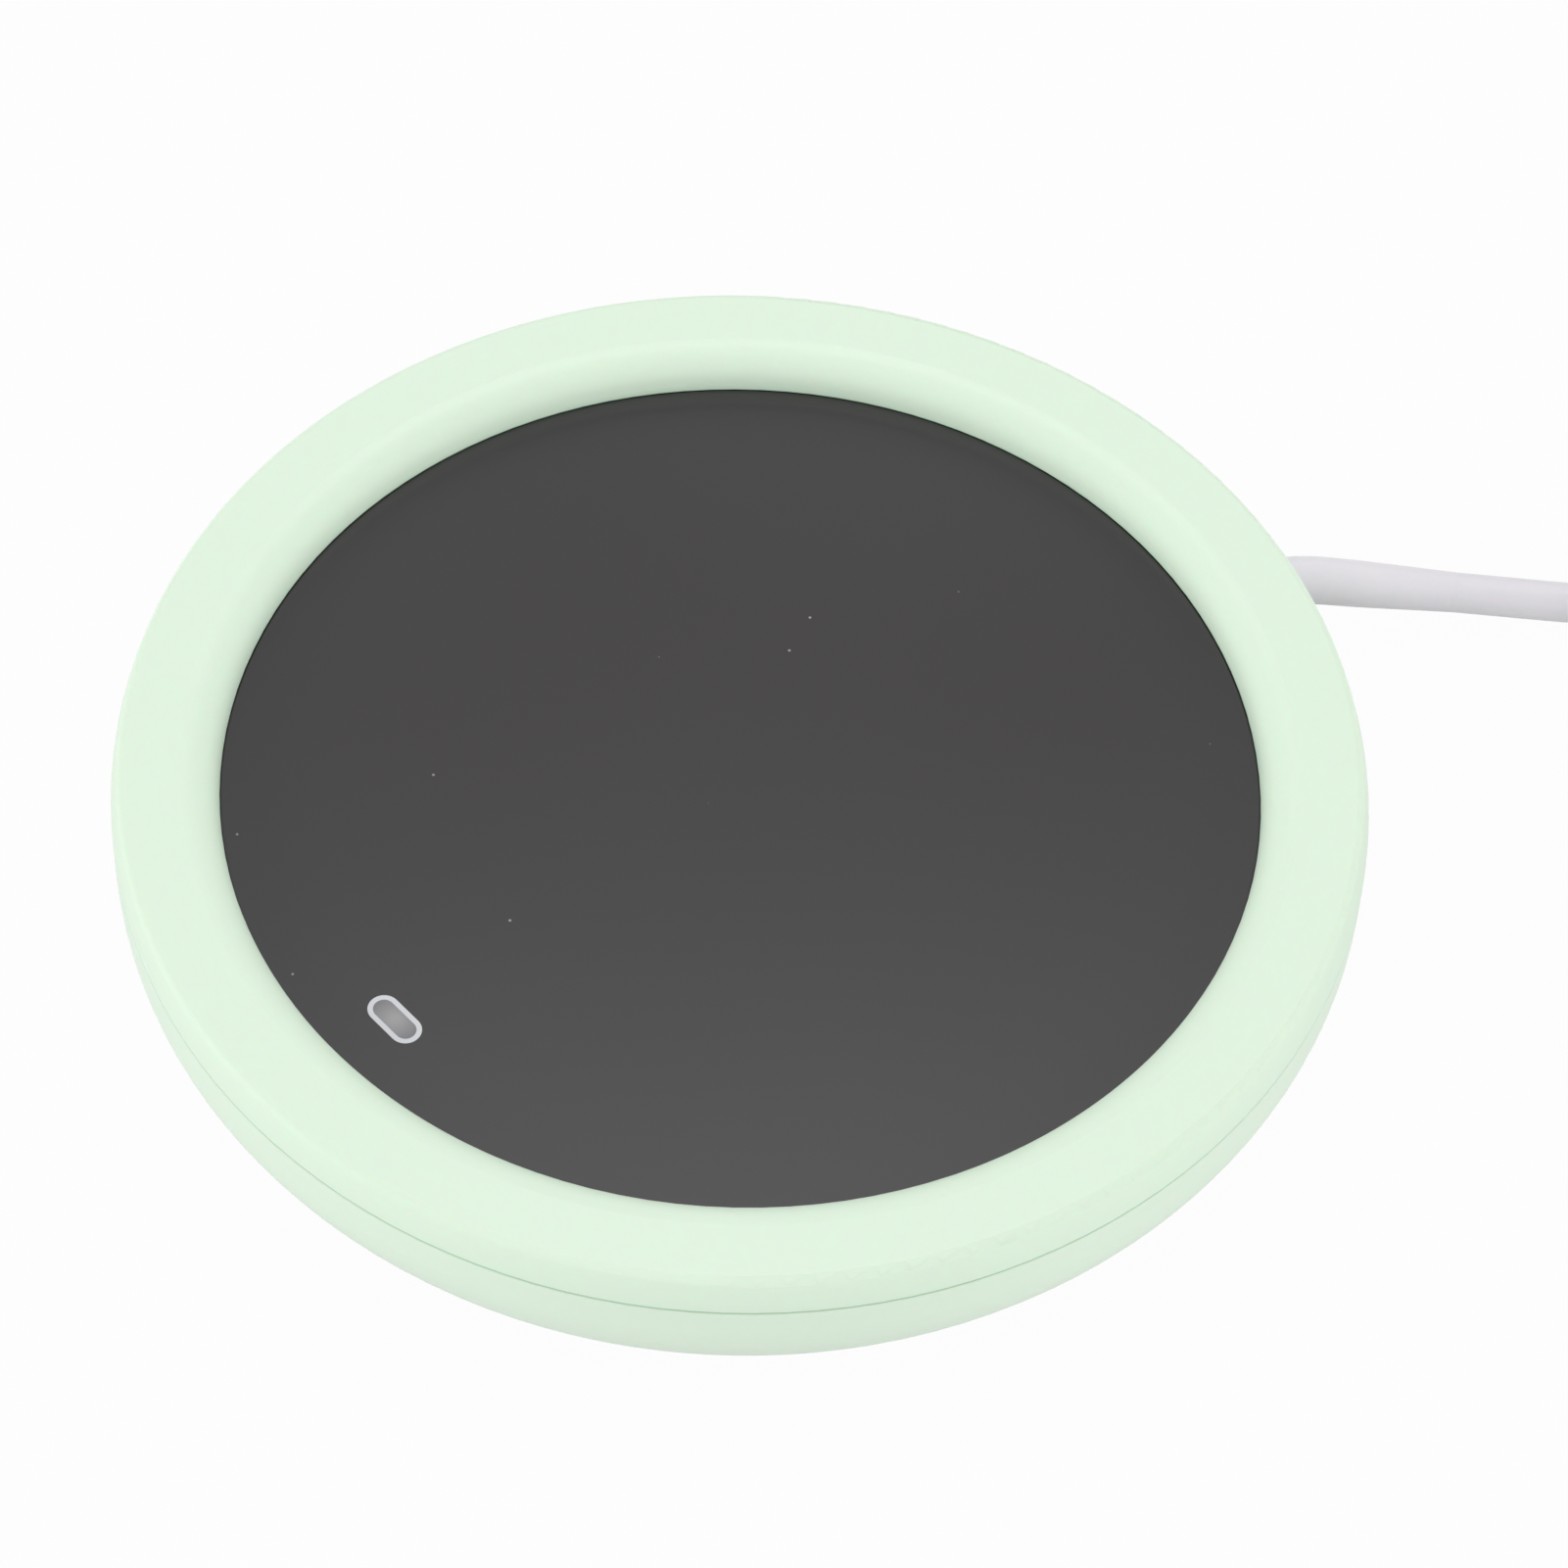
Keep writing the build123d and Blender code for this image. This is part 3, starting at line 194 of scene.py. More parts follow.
# %% [markdown]
# ## The lead
# The lead is a soft plastic jacket over two thin wires. It leaves the case through its
# sleeve, sinks to the table within a few centimetres, and the rest of it is wound up and
# strapped. One smooth spline carries all of it: listed points for the free run, then a
# ring of points for each turn of the coil. A spline of order three rounds off the corners
# between its points as a real jacket does.

# %% Points along the lead
LEAD_RADIUS = 2.0
FREE_RUN = [(49.26, 31.74, 8.0), (52.54, 33.86, 8.0), (62.06, 35.54, 5.2), (70.86, 37.04, 2.7),
            (85.96, 36.44, 2.05), (96.98, 36.26, 2.23)]
TAIL = [(143.29, 1.6, 9.7), (143.29, -6.4, 6.4), (143.29, -12.6, 4.0), (143.29, -19.0, 3.8),
        (143.29, -27.4, 3.8)]
COIL_MIDDLE = (116.99, 9.62)
COIL_START = 89.0
POINTS_PER_TURN = 24
TURN_RADII = [26.3, 22.0, 17.7, 19.85, 24.15, 22.0, 26.3]
TURN_HEIGHTS = [2.65, 2.65, 2.65, 6.35, 6.35, 10.05, 10.05]
# Turns wind inwards on the table, then outwards in each of the two layers above it.
# Each change-over to the next turn starts at an angle in its own turn and takes some degrees.
CHANGES = [(260.9, 57.3), (212.5, 65.0), (158.2, 56.2), (150.7, 53.3), (123.7, 50.0), (73.2, 67.0)]
# Between the two angles that hold the change-overs, each upper layer rides a little higher.
HUMP_FROM, HUMP_TO, HUMP_WIDTH = 51.0, 298.8, 40.0
HUMP_RISE = 0.6
LAYER_STEP = 3.7


def ease(share):
    """Goes from 0 to 1 with no jump in slope or curvature at either end: 6x^5 - 15x^4 + 10x^3."""
    x = np.clip(share, 0, 1)
    return x**3 * (x * (6 * x - 15) + 10)


def coil_points():
    """Each point is a radius and a height at an angle. Both ease from one turn's to the next's.
    The curve touches the middle of each side between two points, so the radius is divided by
    the cosine of half a step, and the curve lies on the circle itself."""
    wound = np.arange(0, 360 * (len(TURN_RADII) - 1) + COIL_START + 1, 360 / POINTS_PER_TURN)
    radius = np.full(len(wound), TURN_RADII[0])
    height = np.full(len(wound), TURN_HEIGHTS[0])
    for number, (start, width) in enumerate(CHANGES):
        share = ease((wound - 360 * number - start) / width)
        radius += (TURN_RADII[number + 1] - TURN_RADII[number]) * share
        height += (TURN_HEIGHTS[number + 1] - TURN_HEIGHTS[number]) * share
    rise = ease((wound % 360 - HUMP_FROM) / HUMP_WIDTH)
    fall = ease((wound % 360 - HUMP_TO) / HUMP_WIDTH)
    hump = rise * (1 - fall)
    height += HUMP_RISE * hump * (height - TURN_HEIGHTS[0]) / LAYER_STEP
    radius /= math.cos(math.pi / POINTS_PER_TURN)
    angle = np.radians(COIL_START - wound)
    x = COIL_MIDDLE[0] + radius * np.cos(angle)
    y = COIL_MIDDLE[1] + radius * np.sin(angle)
    return np.column_stack([x, y, height])


route = np.vstack([FREE_RUN, coil_points(), TAIL]) * MM
print("route:", len(route), "points, a coil of", len(TURN_RADII) - 1, "turns and a quarter")

# %% Lead curve
lead_data = bpy.data.curves.new("lead", "CURVE")
lead_data.dimensions = "3D"
spline = lead_data.splines.new("NURBS")
spline.points.add(len(route) - 1)
spline.points.foreach_set("co", np.column_stack([route, np.ones(len(route))]).ravel())
spline.order_u = 3
spline.use_endpoint_u = True
spline.resolution_u = 6
lead = bpy.data.objects.new("lead", lead_data)
bpy.context.scene.collection.objects.link(lead)
bpy.context.view_layer.update()
bare = bpy.data.meshes.new_from_object(lead)
centre = np.zeros(len(bare.vertices) * 3)
bare.vertices.foreach_get("co", centre)
centre = centre.reshape(-1, 3)
bpy.data.meshes.remove(bare)
lead_data.bevel_depth = LEAD_RADIUS * MM
lead_data.bevel_resolution = 6
lead_data.use_fill_caps = True

# %% [markdown]
# ## Surfaces from numbers
# The other new pieces are grids of points: one direction runs round the piece, the other
# along it. Once the grid is worked out, the faces follow from counting, and the two open ends
# are closed with a fan. That gives clean rows of faces that shade smoothly.


# %% Grid to mesh
def surface(name, grid, material, replaced):
    """Rows of points run along the piece and columns round it, closed. Each end row is
    closed by a fan from its middle. The piece stands for one replaced part of the frame."""
    rows, columns = grid.shape[:2]
    points = grid.reshape(-1, 3)
    row, column = np.meshgrid(np.arange(rows - 1), np.arange(columns), indexing="ij")
    row, column = row.ravel(), column.ravel()
    side = (column + 1) % columns
    here, above = row * columns, (row + 1) * columns
    faces = np.column_stack([here + column, here + side, above + side, above + column]).tolist()
    first, last = len(points), len(points) + 1
    points = np.vstack([points, grid[0].mean(0), grid[-1].mean(0)])
    around = np.arange(columns)
    beside = (around + 1) % columns
    faces += np.column_stack([beside, around, np.full(columns, first)]).tolist()
    top = (rows - 1) * columns
    faces += np.column_stack([top + around, top + beside, np.full(columns, last)]).tolist()
    mesh = bpy.data.meshes.new(name)
    mesh.from_pydata(points, [], faces)
    work = bmesh.new()
    work.from_mesh(mesh)
    bmesh.ops.recalc_face_normals(work, faces=work.faces)
    work.to_mesh(mesh)
    work.free()
    mesh.shade_smooth()
    mesh.materials.append(material)
    piece = bpy.data.objects.new(name, mesh)
    bpy.context.scene.collection.objects.link(piece)
    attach(piece, BODY)
    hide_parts(replaced)
    print(name, len(points), "points")
    return piece


# %% [markdown]
# ## Soft jacket plastic
# The jacket, the sleeve and the plug's grip are soft white plastic, extruded or moulded.
# It is white with a breath of violet, dull rather than shiny, with a skin that is a
# little uneven where it cooled. A fine bump breaks up its highlight.


# %% Soft plastic
def spots(size_mm):
    """How many spots of a size fit side by side in a metre, which is the scale of a noise."""
    return 1000 / size_mm


def soft_plastic(name, pale, deep, roughness, skin_mm, depth_mm):
    """Two close colours drift over the surface, and a fine bump makes it dull."""
    material, tree, shader = finish(
        name, Roughness=roughness, IOR=1.52, Subsurface_Weight=0.08, Subsurface_Scale=0.001)
    place = add(tree, "TexCoord").outputs["Object"]
    drift = add(tree, "TexNoise", {"Vector": place, "Scale": spots(14), "Detail": 2.0})
    mixed = add(tree, "Mix", {0: drift.outputs[0], 6: linear(pale), 7: linear(deep)}, data_type="RGBA")
    skin = add(tree, "TexNoise", {"Vector": place, "Scale": spots(skin_mm), "Detail": 3.0})
    bump = add(tree, "Bump", {"Height": skin.outputs[0], "Distance": depth_mm * MM, "Strength": 1.0})
    wire(tree, shader, Base_Color=mixed.outputs[2], Normal=bump.outputs[0])
    return material


jacket = soft_plastic("soft_pvc_jacket", "#ECE9EE", "#E5E2E8", 0.42, 0.5, 0.006)
lead_data.materials.append(jacket)
print("lead finish:", jacket.name)

# %% [markdown]
# ## The sleeve at the case
# A lead breaks where it leaves a hard case, so a softer sleeve thins out along it and
# spreads the bend. It is moulded onto the lead in one shot and gripped in the wall by a
# flange. It is drawn here as rings carried along the lead's own line, with the ring's
# radius falling from root to tip.


# %% Sleeve
def rings_along(line, distances, radii, columns):
    """A ring of a given radius stands square to the line at each distance along it."""
    run = np.concatenate([[0], np.cumsum(np.linalg.norm(np.diff(line, axis=0), axis=1))])
    middle = np.column_stack([np.interp(distances, run, line[:, axis]) for axis in range(3)])
    along = np.gradient(middle, distances, axis=0)
    along /= np.linalg.norm(along, axis=1, keepdims=True)
    side = np.cross(along, (0.0, 0.0, 1.0))
    side /= np.linalg.norm(side, axis=1, keepdims=True)
    up = np.cross(side, along)
    angle = np.linspace(0, 2 * np.pi, columns, endpoint=False)[None, :, None]
    outward = np.cos(angle) * side[:, None] + np.sin(angle) * up[:, None]
    return middle[:, None] + radii[:, None, None] * outward


EXIT_AZIMUTH = math.radians(32.8)
exit_way = np.array([math.cos(EXIT_AZIMUTH), math.sin(EXIT_AZIMUTH), 0.0])
NECK_LENGTH = 9.6
inner_line = centre[0] - exit_way * NECK_LENGTH * MM
sleeve_line = np.vstack([inner_line, centre])
# Each row is a distance along the sleeve and its radius there.
SLEEVE_PROFILE = np.array([
    (0.0, 1.2), (0.0, 3.6), (0.15, 3.8), (1.35, 3.8), (1.5, 3.6), (1.5, 2.9), (9.0, 2.9), (9.6, 2.85),
    (9.8, 2.55), (11.0, 2.48), (16.0, 2.4), (22.0, 2.33), (25.0, 2.24), (28.0, 2.14), (31.0, 2.05),
    (32.2, 2.01), (32.5, 1.9)])
RINGS_PER_STRETCH = 16
RING_COLUMNS = 48
LEAST_STEP = 1e-6
stretches = len(SLEEVE_PROFILE) - 1
steps = np.linspace(0, stretches, RINGS_PER_STRETCH * stretches + 1)
sleeve_reach, sleeve_radius = (np.interp(steps, np.arange(stretches + 1), line) for line in SLEEVE_PROFILE.T)
# Two rings never stand at the same distance, even on the flange's flat faces.
sleeve_reach = np.maximum.accumulate(sleeve_reach + np.arange(len(steps)) * LEAST_STEP)
sleeve_rings = rings_along(sleeve_line, sleeve_reach * MM, sleeve_radius * MM, RING_COLUMNS)
sleeve = surface("strain_sleeve", sleeve_rings, jacket, "strain_relief")
sleeve_end = round(float(sleeve_reach[-1] - NECK_LENGTH), 1)
print("sleeve reaches", sleeve_end, "mm along the lead")

# %% [markdown]
# ## The case
# The case is moulded from a hard plastic tinted a pale mint. A mould with a fine etched
# surface leaves it satin: it is smooth to the eye, and a highlight on it spreads into a
# soft band. The etch is drawn in spots of a quarter of a millimetre, coarser than a real
# one, so that it shows. A broad drift of two close tints keeps the case from looking like
# a flat fill. A little light goes through it and comes out beside its edges. The open line
# between ring and shell gets painted shade: at that height the green is drawn deeper, to
# stand for the shade inside the groove.


# %% Hard plastic
ETCH_WAVER = 0.03
# The band of painted seam shade: its height, its full-strength half width and its fade, in mm.
JOINT_HEIGHT = 16.05
JOINT_HALF = 0.15
JOINT_FADE = 0.2


def hard_plastic(name, pale, deep, roughness, etch_mm, depth_mm):
    """Two close tints drift over it, roughness wavers a little, and a fine etch is the bump.
    Near the seam's height, up or down, a deeper green is painted in as the groove's shade."""
    material, tree, shader = finish(name, IOR=1.5, Subsurface_Weight=0.12, Subsurface_Scale=0.0015)
    place = add(tree, "TexCoord").outputs["Object"]
    drift = add(tree, "TexNoise", {"Vector": place, "Scale": spots(30), "Detail": 2.0})
    mixed = add(tree, "Mix", {0: drift.outputs[0], 6: linear(pale), 7: linear(deep)}, data_type="RGBA")
    waver = add(tree, "MapRange", {0: drift.outputs[0], 3: roughness - ETCH_WAVER, 4: roughness + ETCH_WAVER})
    etch = add(tree, "TexNoise", {"Vector": place, "Scale": spots(etch_mm), "Detail": 2.0})
    bump = add(tree, "Bump", {"Height": etch.outputs[0], "Distance": depth_mm * MM, "Strength": 1.0})
    # Painted shade: near the seam's height the case turns a deeper green, for the shade in the groove.
    height = add(tree, "SeparateXYZ", {"Vector": place}).outputs["Z"]
    away = add(tree, "Math", {0: height, 1: JOINT_HEIGHT * MM}, operation="SUBTRACT")
    away = add(tree, "Math", {0: away.outputs[0]}, operation="ABSOLUTE")
    fading = {0: away.outputs[0], 1: JOINT_HALF * MM, 2: JOINT_FADE * MM, 3: 1.0, 4: 0.0}
    seam_shade_mask = add(tree, "MapRange", fading)
    painted_seam_shade = {0: seam_shade_mask.outputs[0], 6: mixed.outputs[2], 7: linear("#B8D6B7")}
    shaded = add(tree, "Mix", painted_seam_shade, data_type="RGBA")
    wire(tree, shader, Base_Color=shaded.outputs[2], Roughness=waver.outputs[0], Normal=bump.outputs[0])
    return material


ring_plastic = hard_plastic("moulded_abs_ring", "#E1F4E0", "#DFF3DE", 0.42, 0.25, 0.002)
shell_plastic = hard_plastic("moulded_abs_shell", "#E3F5E2", "#E1F3E0", 0.45, 0.25, 0.002)
print("case finishes:", ring_plastic.name, "and", shell_plastic.name)

# %% [markdown]
# ## The warm plate
# The plate is a disc of hardened glass, printed dark grey underneath and etched to a
# satin on top. The etch spreads what it mirrors into a soft haze, and a very slow wave in
# the glass moves that haze about. Its grains are drawn 0.3 mm wide, coarser than real, so
# that they show. A few specks of dust lie on it.

# %% Glass plate
glass, tree, shader = finish("etched_glass_plate", IOR=1.5)
place = add(tree, "TexCoord").outputs["Object"]
wave = add(tree, "TexNoise", {"Vector": place, "Scale": spots(55), "Detail": 1.0})
grey = add(tree, "Mix", {0: wave.outputs[0], 6: linear("#312E2F"), 7: linear("#353335")}, data_type="RGBA")
# A speck's middle and its faded edge are shares of a 6 mm cell.
DUST_CORE, DUST_EDGE = 0.016, 0.028
dust_cells = add(tree, "TexVoronoi", {"Vector": place, "Scale": spots(6), "Randomness": 1.0})
dust = add(tree, "MapRange", {0: dust_cells.outputs["Distance"], 1: DUST_CORE, 2: DUST_EDGE, 3: 1.0, 4: 0.0})
dusted = add(tree, "Mix", {0: dust.outputs[0], 6: grey.outputs[2], 7: linear("#A59C98")}, data_type="RGBA")
SMOOTHEST, DULLEST = 0.26, 0.31
haze = add(tree, "MapRange", {0: wave.outputs[0], 3: SMOOTHEST, 4: DULLEST})
etch = add(tree, "TexNoise", {"Vector": place, "Scale": spots(0.3), "Detail": 2.0})
fine = add(tree, "Bump", {"Height": etch.outputs[0], "Distance": 0.0015 * MM, "Strength": 1.0})
slow = add(tree, "Bump", {
    "Height": wave.outputs[0], "Distance": 0.05 * MM, "Strength": 1.0, "Normal": fine.outputs[0]})
wire(tree, shader, Base_Color=dusted.outputs[2], Roughness=haze.outputs[0], Normal=slow.outputs[0])
print("plate finish:", glass.name)

# %% [markdown]
# ## The touch window
# A pill-shaped hole in the print lets a lamp shine through frosted resin, and a thin
# white line is printed round it. The resin is darkest at its rim, where the print's
# thickness shades it, so its grey follows the distance from the middle of the pill.

# %% Printed line and frosted window
ink = soft_plastic("screen_printed_ink", "#DAD9DD", "#D4D3D7", 0.5, 0.3, 0.002)
window, tree, shader = finish("frosted_resin_window", IOR=1.49, Roughness=0.38)
PILL_DISTANCE = 42.1
PILL_AZIMUTH = math.radians(223.1)
PILL = (PILL_DISTANCE * math.cos(PILL_AZIMUTH), PILL_DISTANCE * math.sin(PILL_AZIMUTH))
SHADE_FROM, SHADE_TO = 0.4, 2.3
place = add(tree, "TexCoord").outputs["Object"]
from_pill = add(tree, "Mapping", {"Vector": place, "Location": (-PILL[0] * MM, -PILL[1] * MM, 0)})
level = add(tree, "VectorMath", {0: from_pill.outputs[0], 1: (1, 1, 0)}, operation="MULTIPLY")
far = add(tree, "VectorMath", {0: level.outputs[0]}, operation="LENGTH").outputs["Value"]
rim = add(tree, "MapRange", {0: far, 1: SHADE_FROM * MM, 2: SHADE_TO * MM, 3: 0.0, 4: 1.0})
tone = add(tree, "Mix", {0: rim.outputs[0], 6: linear("#9C9B9D"), 7: linear("#7C7B7E")}, data_type="RGBA")
frost = add(tree, "TexNoise", {"Vector": place, "Scale": spots(0.25), "Detail": 2.0})
bump = add(tree, "Bump", {"Height": frost.outputs[0], "Distance": 0.004 * MM, "Strength": 1.0})
wire(tree, shader, Base_Color=tone.outputs[2], Normal=bump.outputs[0])
print("the pill's middle is", np.round(PILL, 1), "mm from the plate's")

# %% [markdown]
# ## Metals
# Inside are rolled sheet, zinc-plated steel, etched foil and plated contacts. Rolling
# leaves fine lines all one way, so its bump is a noise stretched along one axis. Plating
# leaves a cloudy bloom, so its roughness drifts. The note beside each metal says what it
# gives the eye.


# %% Metals
BLOOM = 0.06


def metal(name, pale, deep, roughness, line_mm, stretch, depth_mm):
    """Two close metal colours and a roughness that drift, under fine lines stretched along X."""
    material, tree, shader = finish(name, Metallic=1.0)
    place = add(tree, "TexCoord").outputs["Object"]
    cloud = add(tree, "TexNoise", {"Vector": place, "Scale": spots(6), "Detail": 3.0})
    mixed = add(tree, "Mix", {0: cloud.outputs[0], 6: linear(pale), 7: linear(deep)}, data_type="RGBA")
    waver = add(tree, "MapRange", {0: cloud.outputs[0], 3: roughness - BLOOM, 4: roughness + BLOOM})
    longer = add(tree, "Mapping", {"Vector": place, "Scale": (1 / stretch, 1, 1)})
    lines = add(tree, "TexNoise", {"Vector": longer.outputs[0], "Scale": spots(line_mm), "Detail": 2.0})
    bump = add(tree, "Bump", {"Height": lines.outputs[0], "Distance": depth_mm * MM, "Strength": 1.0})
    wire(tree, shader, Base_Color=mixed.outputs[2], Roughness=waver.outputs[0], Normal=bump.outputs[0])
    return material


aluminium = metal("rolled_aluminium", "#C9CBCD", "#BFC1C4", 0.34, 0.2, 30, 0.002)  # long, pale rolling lines
zinc_steel = metal("zinc_plated_steel", "#A9ACB0", "#9A9EA4", 0.38, 0.4, 1.5, 0.003)  # a cloudy, bluish bloom
heater_foil = metal("etched_nickel_foil", "#A8A29A", "#989289", 0.4, 0.15, 8, 0.001)  # a warm, dull grey
tinned = metal("tinned_copper", "#C7C6C2", "#B9B8B4", 0.35, 0.3, 1, 0.002)  # a soft, silvery white
nickel = metal("nickel_plated_steel", "#CFCDC8", "#C6C4BF", 0.2, 0.25, 12, 0.001)  # a bright, warm mirror
gold = metal("gold_plated_contact", "#E3B95C", "#D9AD50", 0.24, 0.2, 8, 0.0008)  # a thin, yellow shine
print("metals:", ", ".join(m.name for m in (aluminium, zinc_steel, heater_foil, tinned, nickel, gold)))

# %% [markdown]
# ## Rubber, film, felt and board
# The feet are soft grey rubber with a dull bloom. Under the plate lie an amber film that
# carries the heater and a felt pad that keeps its heat from going down, and the board
# below them is green lacquer over copper. Each is named for what it is, so that a reader
# can look the stuff up, and the note beside it says what it gives the eye.


# %% Other finishes
def matt(name, pale, deep, roughness, grain_mm, depth_mm, spread_mm=5.0, ior=1.5):
    """A dull material: two colours drift over a spread, and a grain stands up by a depth."""
    material, tree, shader = finish(name, Roughness=roughness, IOR=ior)
    place = add(tree, "TexCoord").outputs["Object"]
    drift = add(tree, "TexNoise", {"Vector": place, "Scale": spots(spread_mm), "Detail": 3.0})
    mixed = add(tree, "Mix", {0: drift.outputs[0], 6: linear(pale), 7: linear(deep)}, data_type="RGBA")
    grain = add(tree, "TexNoise", {"Vector": place, "Scale": spots(grain_mm), "Detail": 3.0})
    bump = add(tree, "Bump", {"Height": grain.outputs[0], "Distance": depth_mm * MM, "Strength": 1.0})
    wire(tree, shader, Base_Color=mixed.outputs[2], Normal=bump.outputs[0])
    return material


foot_rubber = matt("silicone_rubber_feet", "#9FA19F", "#8E918E", 0.62, 0.3, 0.01)  # soft and dusty
gasket = matt("acrylic_foam_gasket", "#1B1B1B", "#242424", 0.85, 0.2, 0.02)  # black with open pores
amber_film = matt("polyimide_film", "#B9701C", "#A86115", 0.28, 0.6, 0.002, ior=1.7)  # a glossy amber
felt = matt("glass_fibre_felt", "#E4E1D8", "#CFCBC0", 0.95, 0.4, 0.08, 2.0)  # a rough, fibrous cream
board = matt("solder_mask_board", "#0F5226", "#0C4720", 0.35, 0.4, 0.004)  # green lacquer, slightly wavy
epoxy = matt("moulded_epoxy_chip", "#1C1C1E", "#252527", 0.55, 0.08, 0.004, 1.5)  # black with a fine grit
yellow_case = matt("film_capacitor_case", "#C9A43C", "#BC9833", 0.4, 0.2, 0.004)  # a smooth ochre box
resistor_film = matt("thick_film_resistor", "#171719", "#2A2A2D", 0.45, 0.1, 0.003, 0.8)  # a blotchy glaze
nylon = matt("moulded_nylon", "#E0DED2", "#D3D0C3", 0.5, 0.2, 0.005)  # milky and slightly waxy
lamp_body = matt("lamp_resin", "#ECEBDD", "#E1DFCC", 0.3, 0.15, 0.002, 1.0)  # a shiny, milky yellow
foam = matt("conductive_foam", "#1F1F20", "#303031", 0.9, 0.25, 0.05, 1.0)  # black, deep and dull
bead = matt("sensor_epoxy_bead", "#4B2D18", "#3C2413", 0.3, 0.2, 0.004, 1.0)  # a shiny brown drop
yellow_sleeving = matt("sensor_sleeving", "#D4C637", "#C6B82C", 0.5, 0.3, 0.006)  # thin yellow tube, satin
red_sleeving = matt("supply_wire_sleeving", "#B02A20", "#9E231B", 0.45, 0.3, 0.005)  # red tube, satin
silicone_lead = matt("silicone_heater_lead", "#DDDDD6", "#D0D0C9", 0.6, 0.3, 0.008)  # off-white and rubbery
white_resin = matt("plug_tongue_resin", "#ECECEC", "#E2E2E2", 0.4, 0.2, 0.002)  # hard and evenly white
clear_guide = matt("acrylic_light_guide", "#D6DBDD", "#C8CED1", 0.12, 0.8, 0.001, ior=1.49)  # polished
plug_plastic = soft_plastic("moulded_pvc_plug", "#E9E9EB", "#E1E1E4", 0.4, 0.3, 0.004)  # satin white
print("finishes from", foot_rubber.name, "to", plug_plastic.name)

# %% [markdown]
# ## The strap round the coil
# The put-away lead is held by a short strap of woven nylon that sticks to itself. It goes
# once round the bundle of turns and a fifth of the way again, so its end lies on top of
# its start. It bends with the coil too: it is wider on the outside than on the inside.
# Every point also keeps how far along and across the strap it is, in millimetres, and
# those two numbers carry the weave: two sets of ribs that cross. The ribs are drawn
# 0.9 mm apart, which is coarser than on a real strap, so that they show.


# %% The strap's path
CORNER_STEP = 5.0


def rounded_loop(half_width, half_height, corner, count):
    """A rounded rectangle, as points and outward directions at even steps along it. A point is
    its corner's centre plus the radius times its direction, and the centre is in the
    direction's own quarter, so the straight sides are the jumps from one corner to the next."""
    angle = np.radians(np.arange(CORNER_STEP / 2, 360 + CORNER_STEP, CORNER_STEP))
    outward = np.column_stack([np.cos(angle), np.sin(angle)])
    points = np.sign(outward) * (np.array([half_width, half_height]) - corner) + corner * outward
    run = np.concatenate([[0], np.cumsum(np.linalg.norm(np.diff(points, axis=0), axis=1))])
    place = np.linspace(0, run[-1], count, endpoint=False)
    both = np.column_stack([np.interp(place, run, line) for line in (*points.T, *outward.T)])
    return both[:, :2], both[:, 2:], run[-1]


# The bundle's middle is a distance from the coil's middle and a height above the table.
BUNDLE = (22.0, 6.95)
BUNDLE_HALF = 6.35
BUNDLE_CORNER = 2.05
LOOP_POINTS = 400
STRAP_ROWS = 500
STRAP_OVERLAP = 9.0
loop, outward, loop_length = rounded_loop(BUNDLE_HALF, BUNDLE_HALF, BUNDLE_CORNER, LOOP_POINTS)
band_run = np.linspace(0, loop_length + STRAP_OVERLAP, STRAP_ROWS)
step = band_run / loop_length * LOOP_POINTS % LOOP_POINTS
lines = np.vstack([loop.T, outward.T])
closed = np.column_stack([lines, lines[:, 0]])
path_at = np.column_stack([np.interp(step, np.arange(LOOP_POINTS + 1), line) for line in closed])
print("the strap is", round(float(band_run[-1]), 1), "mm long when laid flat")

# %% The strap's surface
STRAP_AZIMUTH = 200.0
STRAP_HALF_WIDTH = 3.84
STRAP_THICKNESS = 0.5
STRAP_EDGE = 0.24
STRAP_COLUMNS = 48
# Just before the overlap the strap climbs onto its own start, and its last bit is narrower.
CLIMB, CLIMB_LENGTH, CLIMB_LEAD_IN = 0.56, 6.0, 6.5
END_TAPER, TAPER_LENGTH = 0.12, 1.5
lift = STRAP_THICKNESS / 2 + CLIMB * ease((band_run - loop_length + CLIMB_LEAD_IN) / CLIMB_LENGTH)
section = rounded_loop(STRAP_HALF_WIDTH, STRAP_THICKNESS / 2, STRAP_EDGE, STRAP_COLUMNS)[0]
narrow = 1 - END_TAPER * (1 - ease((band_run[-1] - band_run) / TAPER_LENGTH))
width_at = section[None, :, 0] * narrow[:, None]
off = lift[:, None] + section[None, :, 1]
# A point stands off the path along its outward direction, and its place across the strap
# turns it about the coil's middle.
radial = BUNDLE[0] + path_at[:, 0, None] + path_at[:, 2, None] * off
height = BUNDLE[1] + path_at[:, 1, None] + path_at[:, 3, None] * off
angle = math.radians(STRAP_AZIMUTH) + width_at / BUNDLE[0]
band_x = COIL_MIDDLE[0] + radial * np.cos(angle)
band_y = COIL_MIDDLE[1] + radial * np.sin(angle)
band = np.stack([band_x, band_y, height], axis=-1)
print("strap:", band.shape[0], "rows of", band.shape[1], "points")

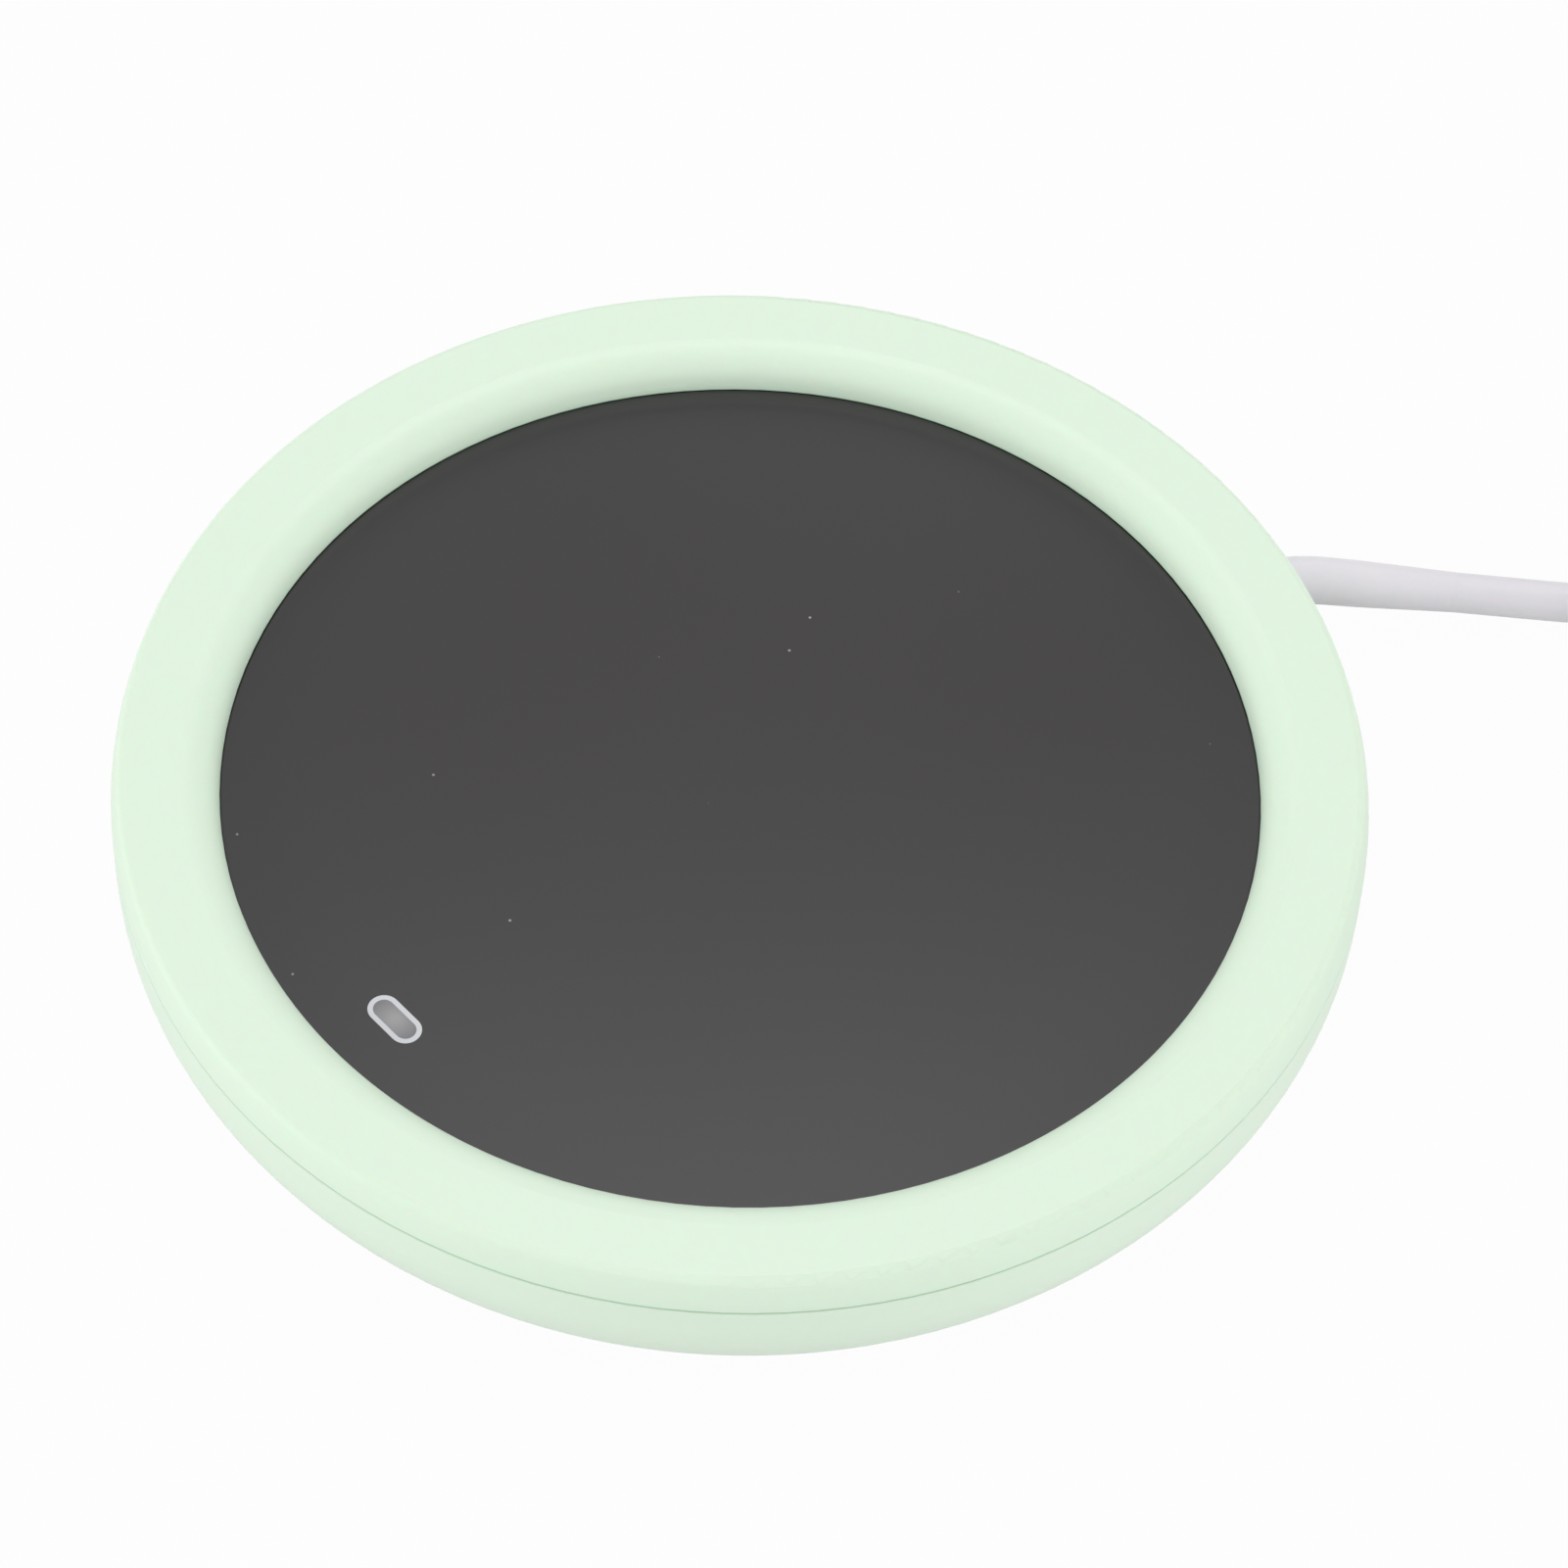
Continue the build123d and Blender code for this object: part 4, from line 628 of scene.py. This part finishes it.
# %% The strap's weave
RIB_SPACING = 0.9
ONE_BAND_A_UNIT = 0.314
weave, tree, shader = finish("woven_nylon_strap", Roughness=0.75, IOR=1.5)
carried = add(tree, "Attribute", attribute_name="weave").outputs["Vector"]
wavy = {"Vector": carried, "Scale": ONE_BAND_A_UNIT / RIB_SPACING, "Distortion": 0.3, "Detail Scale": 2.0}
ribs = [add(tree, "TexWave", wavy, bands_direction=way) for way in ("X", "Y")]
crossed = add(tree, "Math", {0: ribs[0].outputs["Fac"], 1: ribs[1].outputs["Fac"]}, operation="MULTIPLY")
yarn = add(tree, "Mix", {0: crossed.outputs[0], 6: linear("#141416"), 7: linear("#3A3A3E")}, data_type="RGBA")
bump = add(tree, "Bump", {"Height": crossed.outputs[0], "Distance": 0.1 * MM, "Strength": 1.0})
wire(tree, shader, Base_Color=yarn.outputs[2], Normal=bump.outputs[0])
strap = surface("woven_strap", band * MM, weave, "cord_tie")
numbers = np.zeros((len(strap.data.vertices), 3))
numbers[: width_at.size, 0] = np.repeat(band_run, width_at.shape[1])
numbers[: width_at.size, 1] = width_at.ravel()
strap.data.attributes.new("weave", "FLOAT_VECTOR", "POINT").data.foreach_set("vector", numbers.ravel())

# %% [markdown]
# ## The plug's grip
# The grip is moulded round the plug and its lead in one shot. It starts as a round boot
# with grooves that let it bend, then widens into a flat body with three shallow grooves
# for the fingers. Its cross-section is a superellipse, where one number, the squareness,
# turns a circle into a box with round corners: |x/a|^n + |z/b|^n = 1.

# %% Plug grip
PLUG_START = (143.29, -24.38, 3.8)
# Each row is a distance along the grip, half its width and half its height there.
GRIP = np.array([
    (0.0, 2.1, 2.1), (0.15, 2.35, 2.35), (0.5, 2.42, 2.42), (9.6, 3.42, 3.42), (10.1, 3.9, 3.5),
    (10.5, 5.6, 3.62), (11.1, 7.1, 3.72), (11.9, 7.7, 3.78), (13.0, 7.84, 3.79), (29.6, 7.84, 3.79),
    (30.3, 7.78, 3.74), (30.8, 7.55, 3.52), (31.0, 7.25, 3.25)])
GRIP_LENGTH = 31.0
ROWS_PER_MM = 10
GRIP_COLUMNS = 120
BOX_SQUARENESS = 5.2
SQUARE_FROM, SQUARE_LENGTH = 9.4, 2.4


def grooves(reach, depth, start, pitch, end, sharpness):
    """Between its start and end, each groove is a raised cosine of the distance, to a power."""
    wave = 0.5 - 0.5 * np.cos(2 * np.pi * (reach - start) / pitch)
    return depth * wave**sharpness * ((reach > start) & (reach < end))


def rounded_power(wave, power):
    """A sine or cosine keeps its sign, and its size is raised to the power."""
    return np.sign(wave) * np.abs(wave) ** power


reach = np.linspace(0, GRIP_LENGTH, int(GRIP_LENGTH * ROWS_PER_MM) + 1)
boot_cut = grooves(reach, depth=0.32, start=1.5, pitch=1.9, end=9.1, sharpness=2)
finger_cut = grooves(reach, depth=0.28, start=15.5, pitch=2.4, end=22.7, sharpness=1.5)
cut = boot_cut + finger_cut
half_width, half_height = (np.interp(reach, GRIP[:, 0], line) - cut for line in GRIP[:, 1:].T)
squareness = 2 + (BOX_SQUARENESS - 2) * ease((reach - SQUARE_FROM) / SQUARE_LENGTH)
power = 2 / squareness[:, None]
turn_by = np.linspace(0, 2 * np.pi, GRIP_COLUMNS, endpoint=False)[None, :]
grip_x = PLUG_START[0] + half_width[:, None] * rounded_power(np.cos(turn_by), power)
grip_y = PLUG_START[1] - reach[:, None] + 0 * grip_x
grip_z = PLUG_START[2] + half_height[:, None] * rounded_power(np.sin(turn_by), power)
grip = np.stack([grip_x, grip_y, grip_z], axis=-1)
plug_grip = surface("plug_grip", grip * MM, plug_plastic, "plug_body")

# %% Lead takes its place
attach(lead, BODY)
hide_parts("power_cord", "cord_coil")

# %% [markdown]
# ## Each part gets its finish
# A part of the frame keeps its exact shape and only takes a material. The table below is
# the whole bill of materials, so that any finish can be changed in one place.

# %% Bill of materials
FINISHES = {
    "top_ring": ring_plastic, "bottom_shell": shell_plastic, "heating_panel": glass,
    "panel_gasket": gasket, "indicator_outline": ink, "indicator_window": window,
    "heat_spreader": aluminium, "heater_film": amber_film, "heater_track": heater_foil,
    "insulation_pad": felt, "clamp_plate": zinc_steel, "clamp_screws": zinc_steel,
    "case_screws": zinc_steel, "rubber_feet": foot_rubber, "control_board": board,
    "board_screws": zinc_steel, "controller_chip": epoxy, "controller_legs": tinned,
    "power_switch": epoxy, "filter_capacitor": yellow_case, "resistors": resistor_film,
    "board_connectors": nylon, "indicator_lamp": lamp_body, "light_guide": clear_guide,
    "touch_sleeve": foam, "thermistor": bead, "thermistor_leads": yellow_sleeving,
    "thermal_fuse": aluminium, "heater_leads": silicone_lead, "supply_wires": red_sleeving,
    "cord_inner_end": jacket, "cord_clamp": nylon, "cord_clamp_screws": zinc_steel,
    "strain_relief": jacket, "power_cord": jacket, "cord_coil": jacket, "cord_tie": weave,
    "plug_body": plug_plastic, "plug_shell": nickel, "plug_tongue": white_resin, "plug_contacts": gold,
}
assert set(FINISHES) == set(nodes), set(FINISHES) ^ set(nodes)
for name, material in FINISHES.items():
    nodes[name].data.materials.clear()
    nodes[name].data.materials.append(material)
print(len(FINISHES), "parts in", len(set(FINISHES.values())), "finishes")
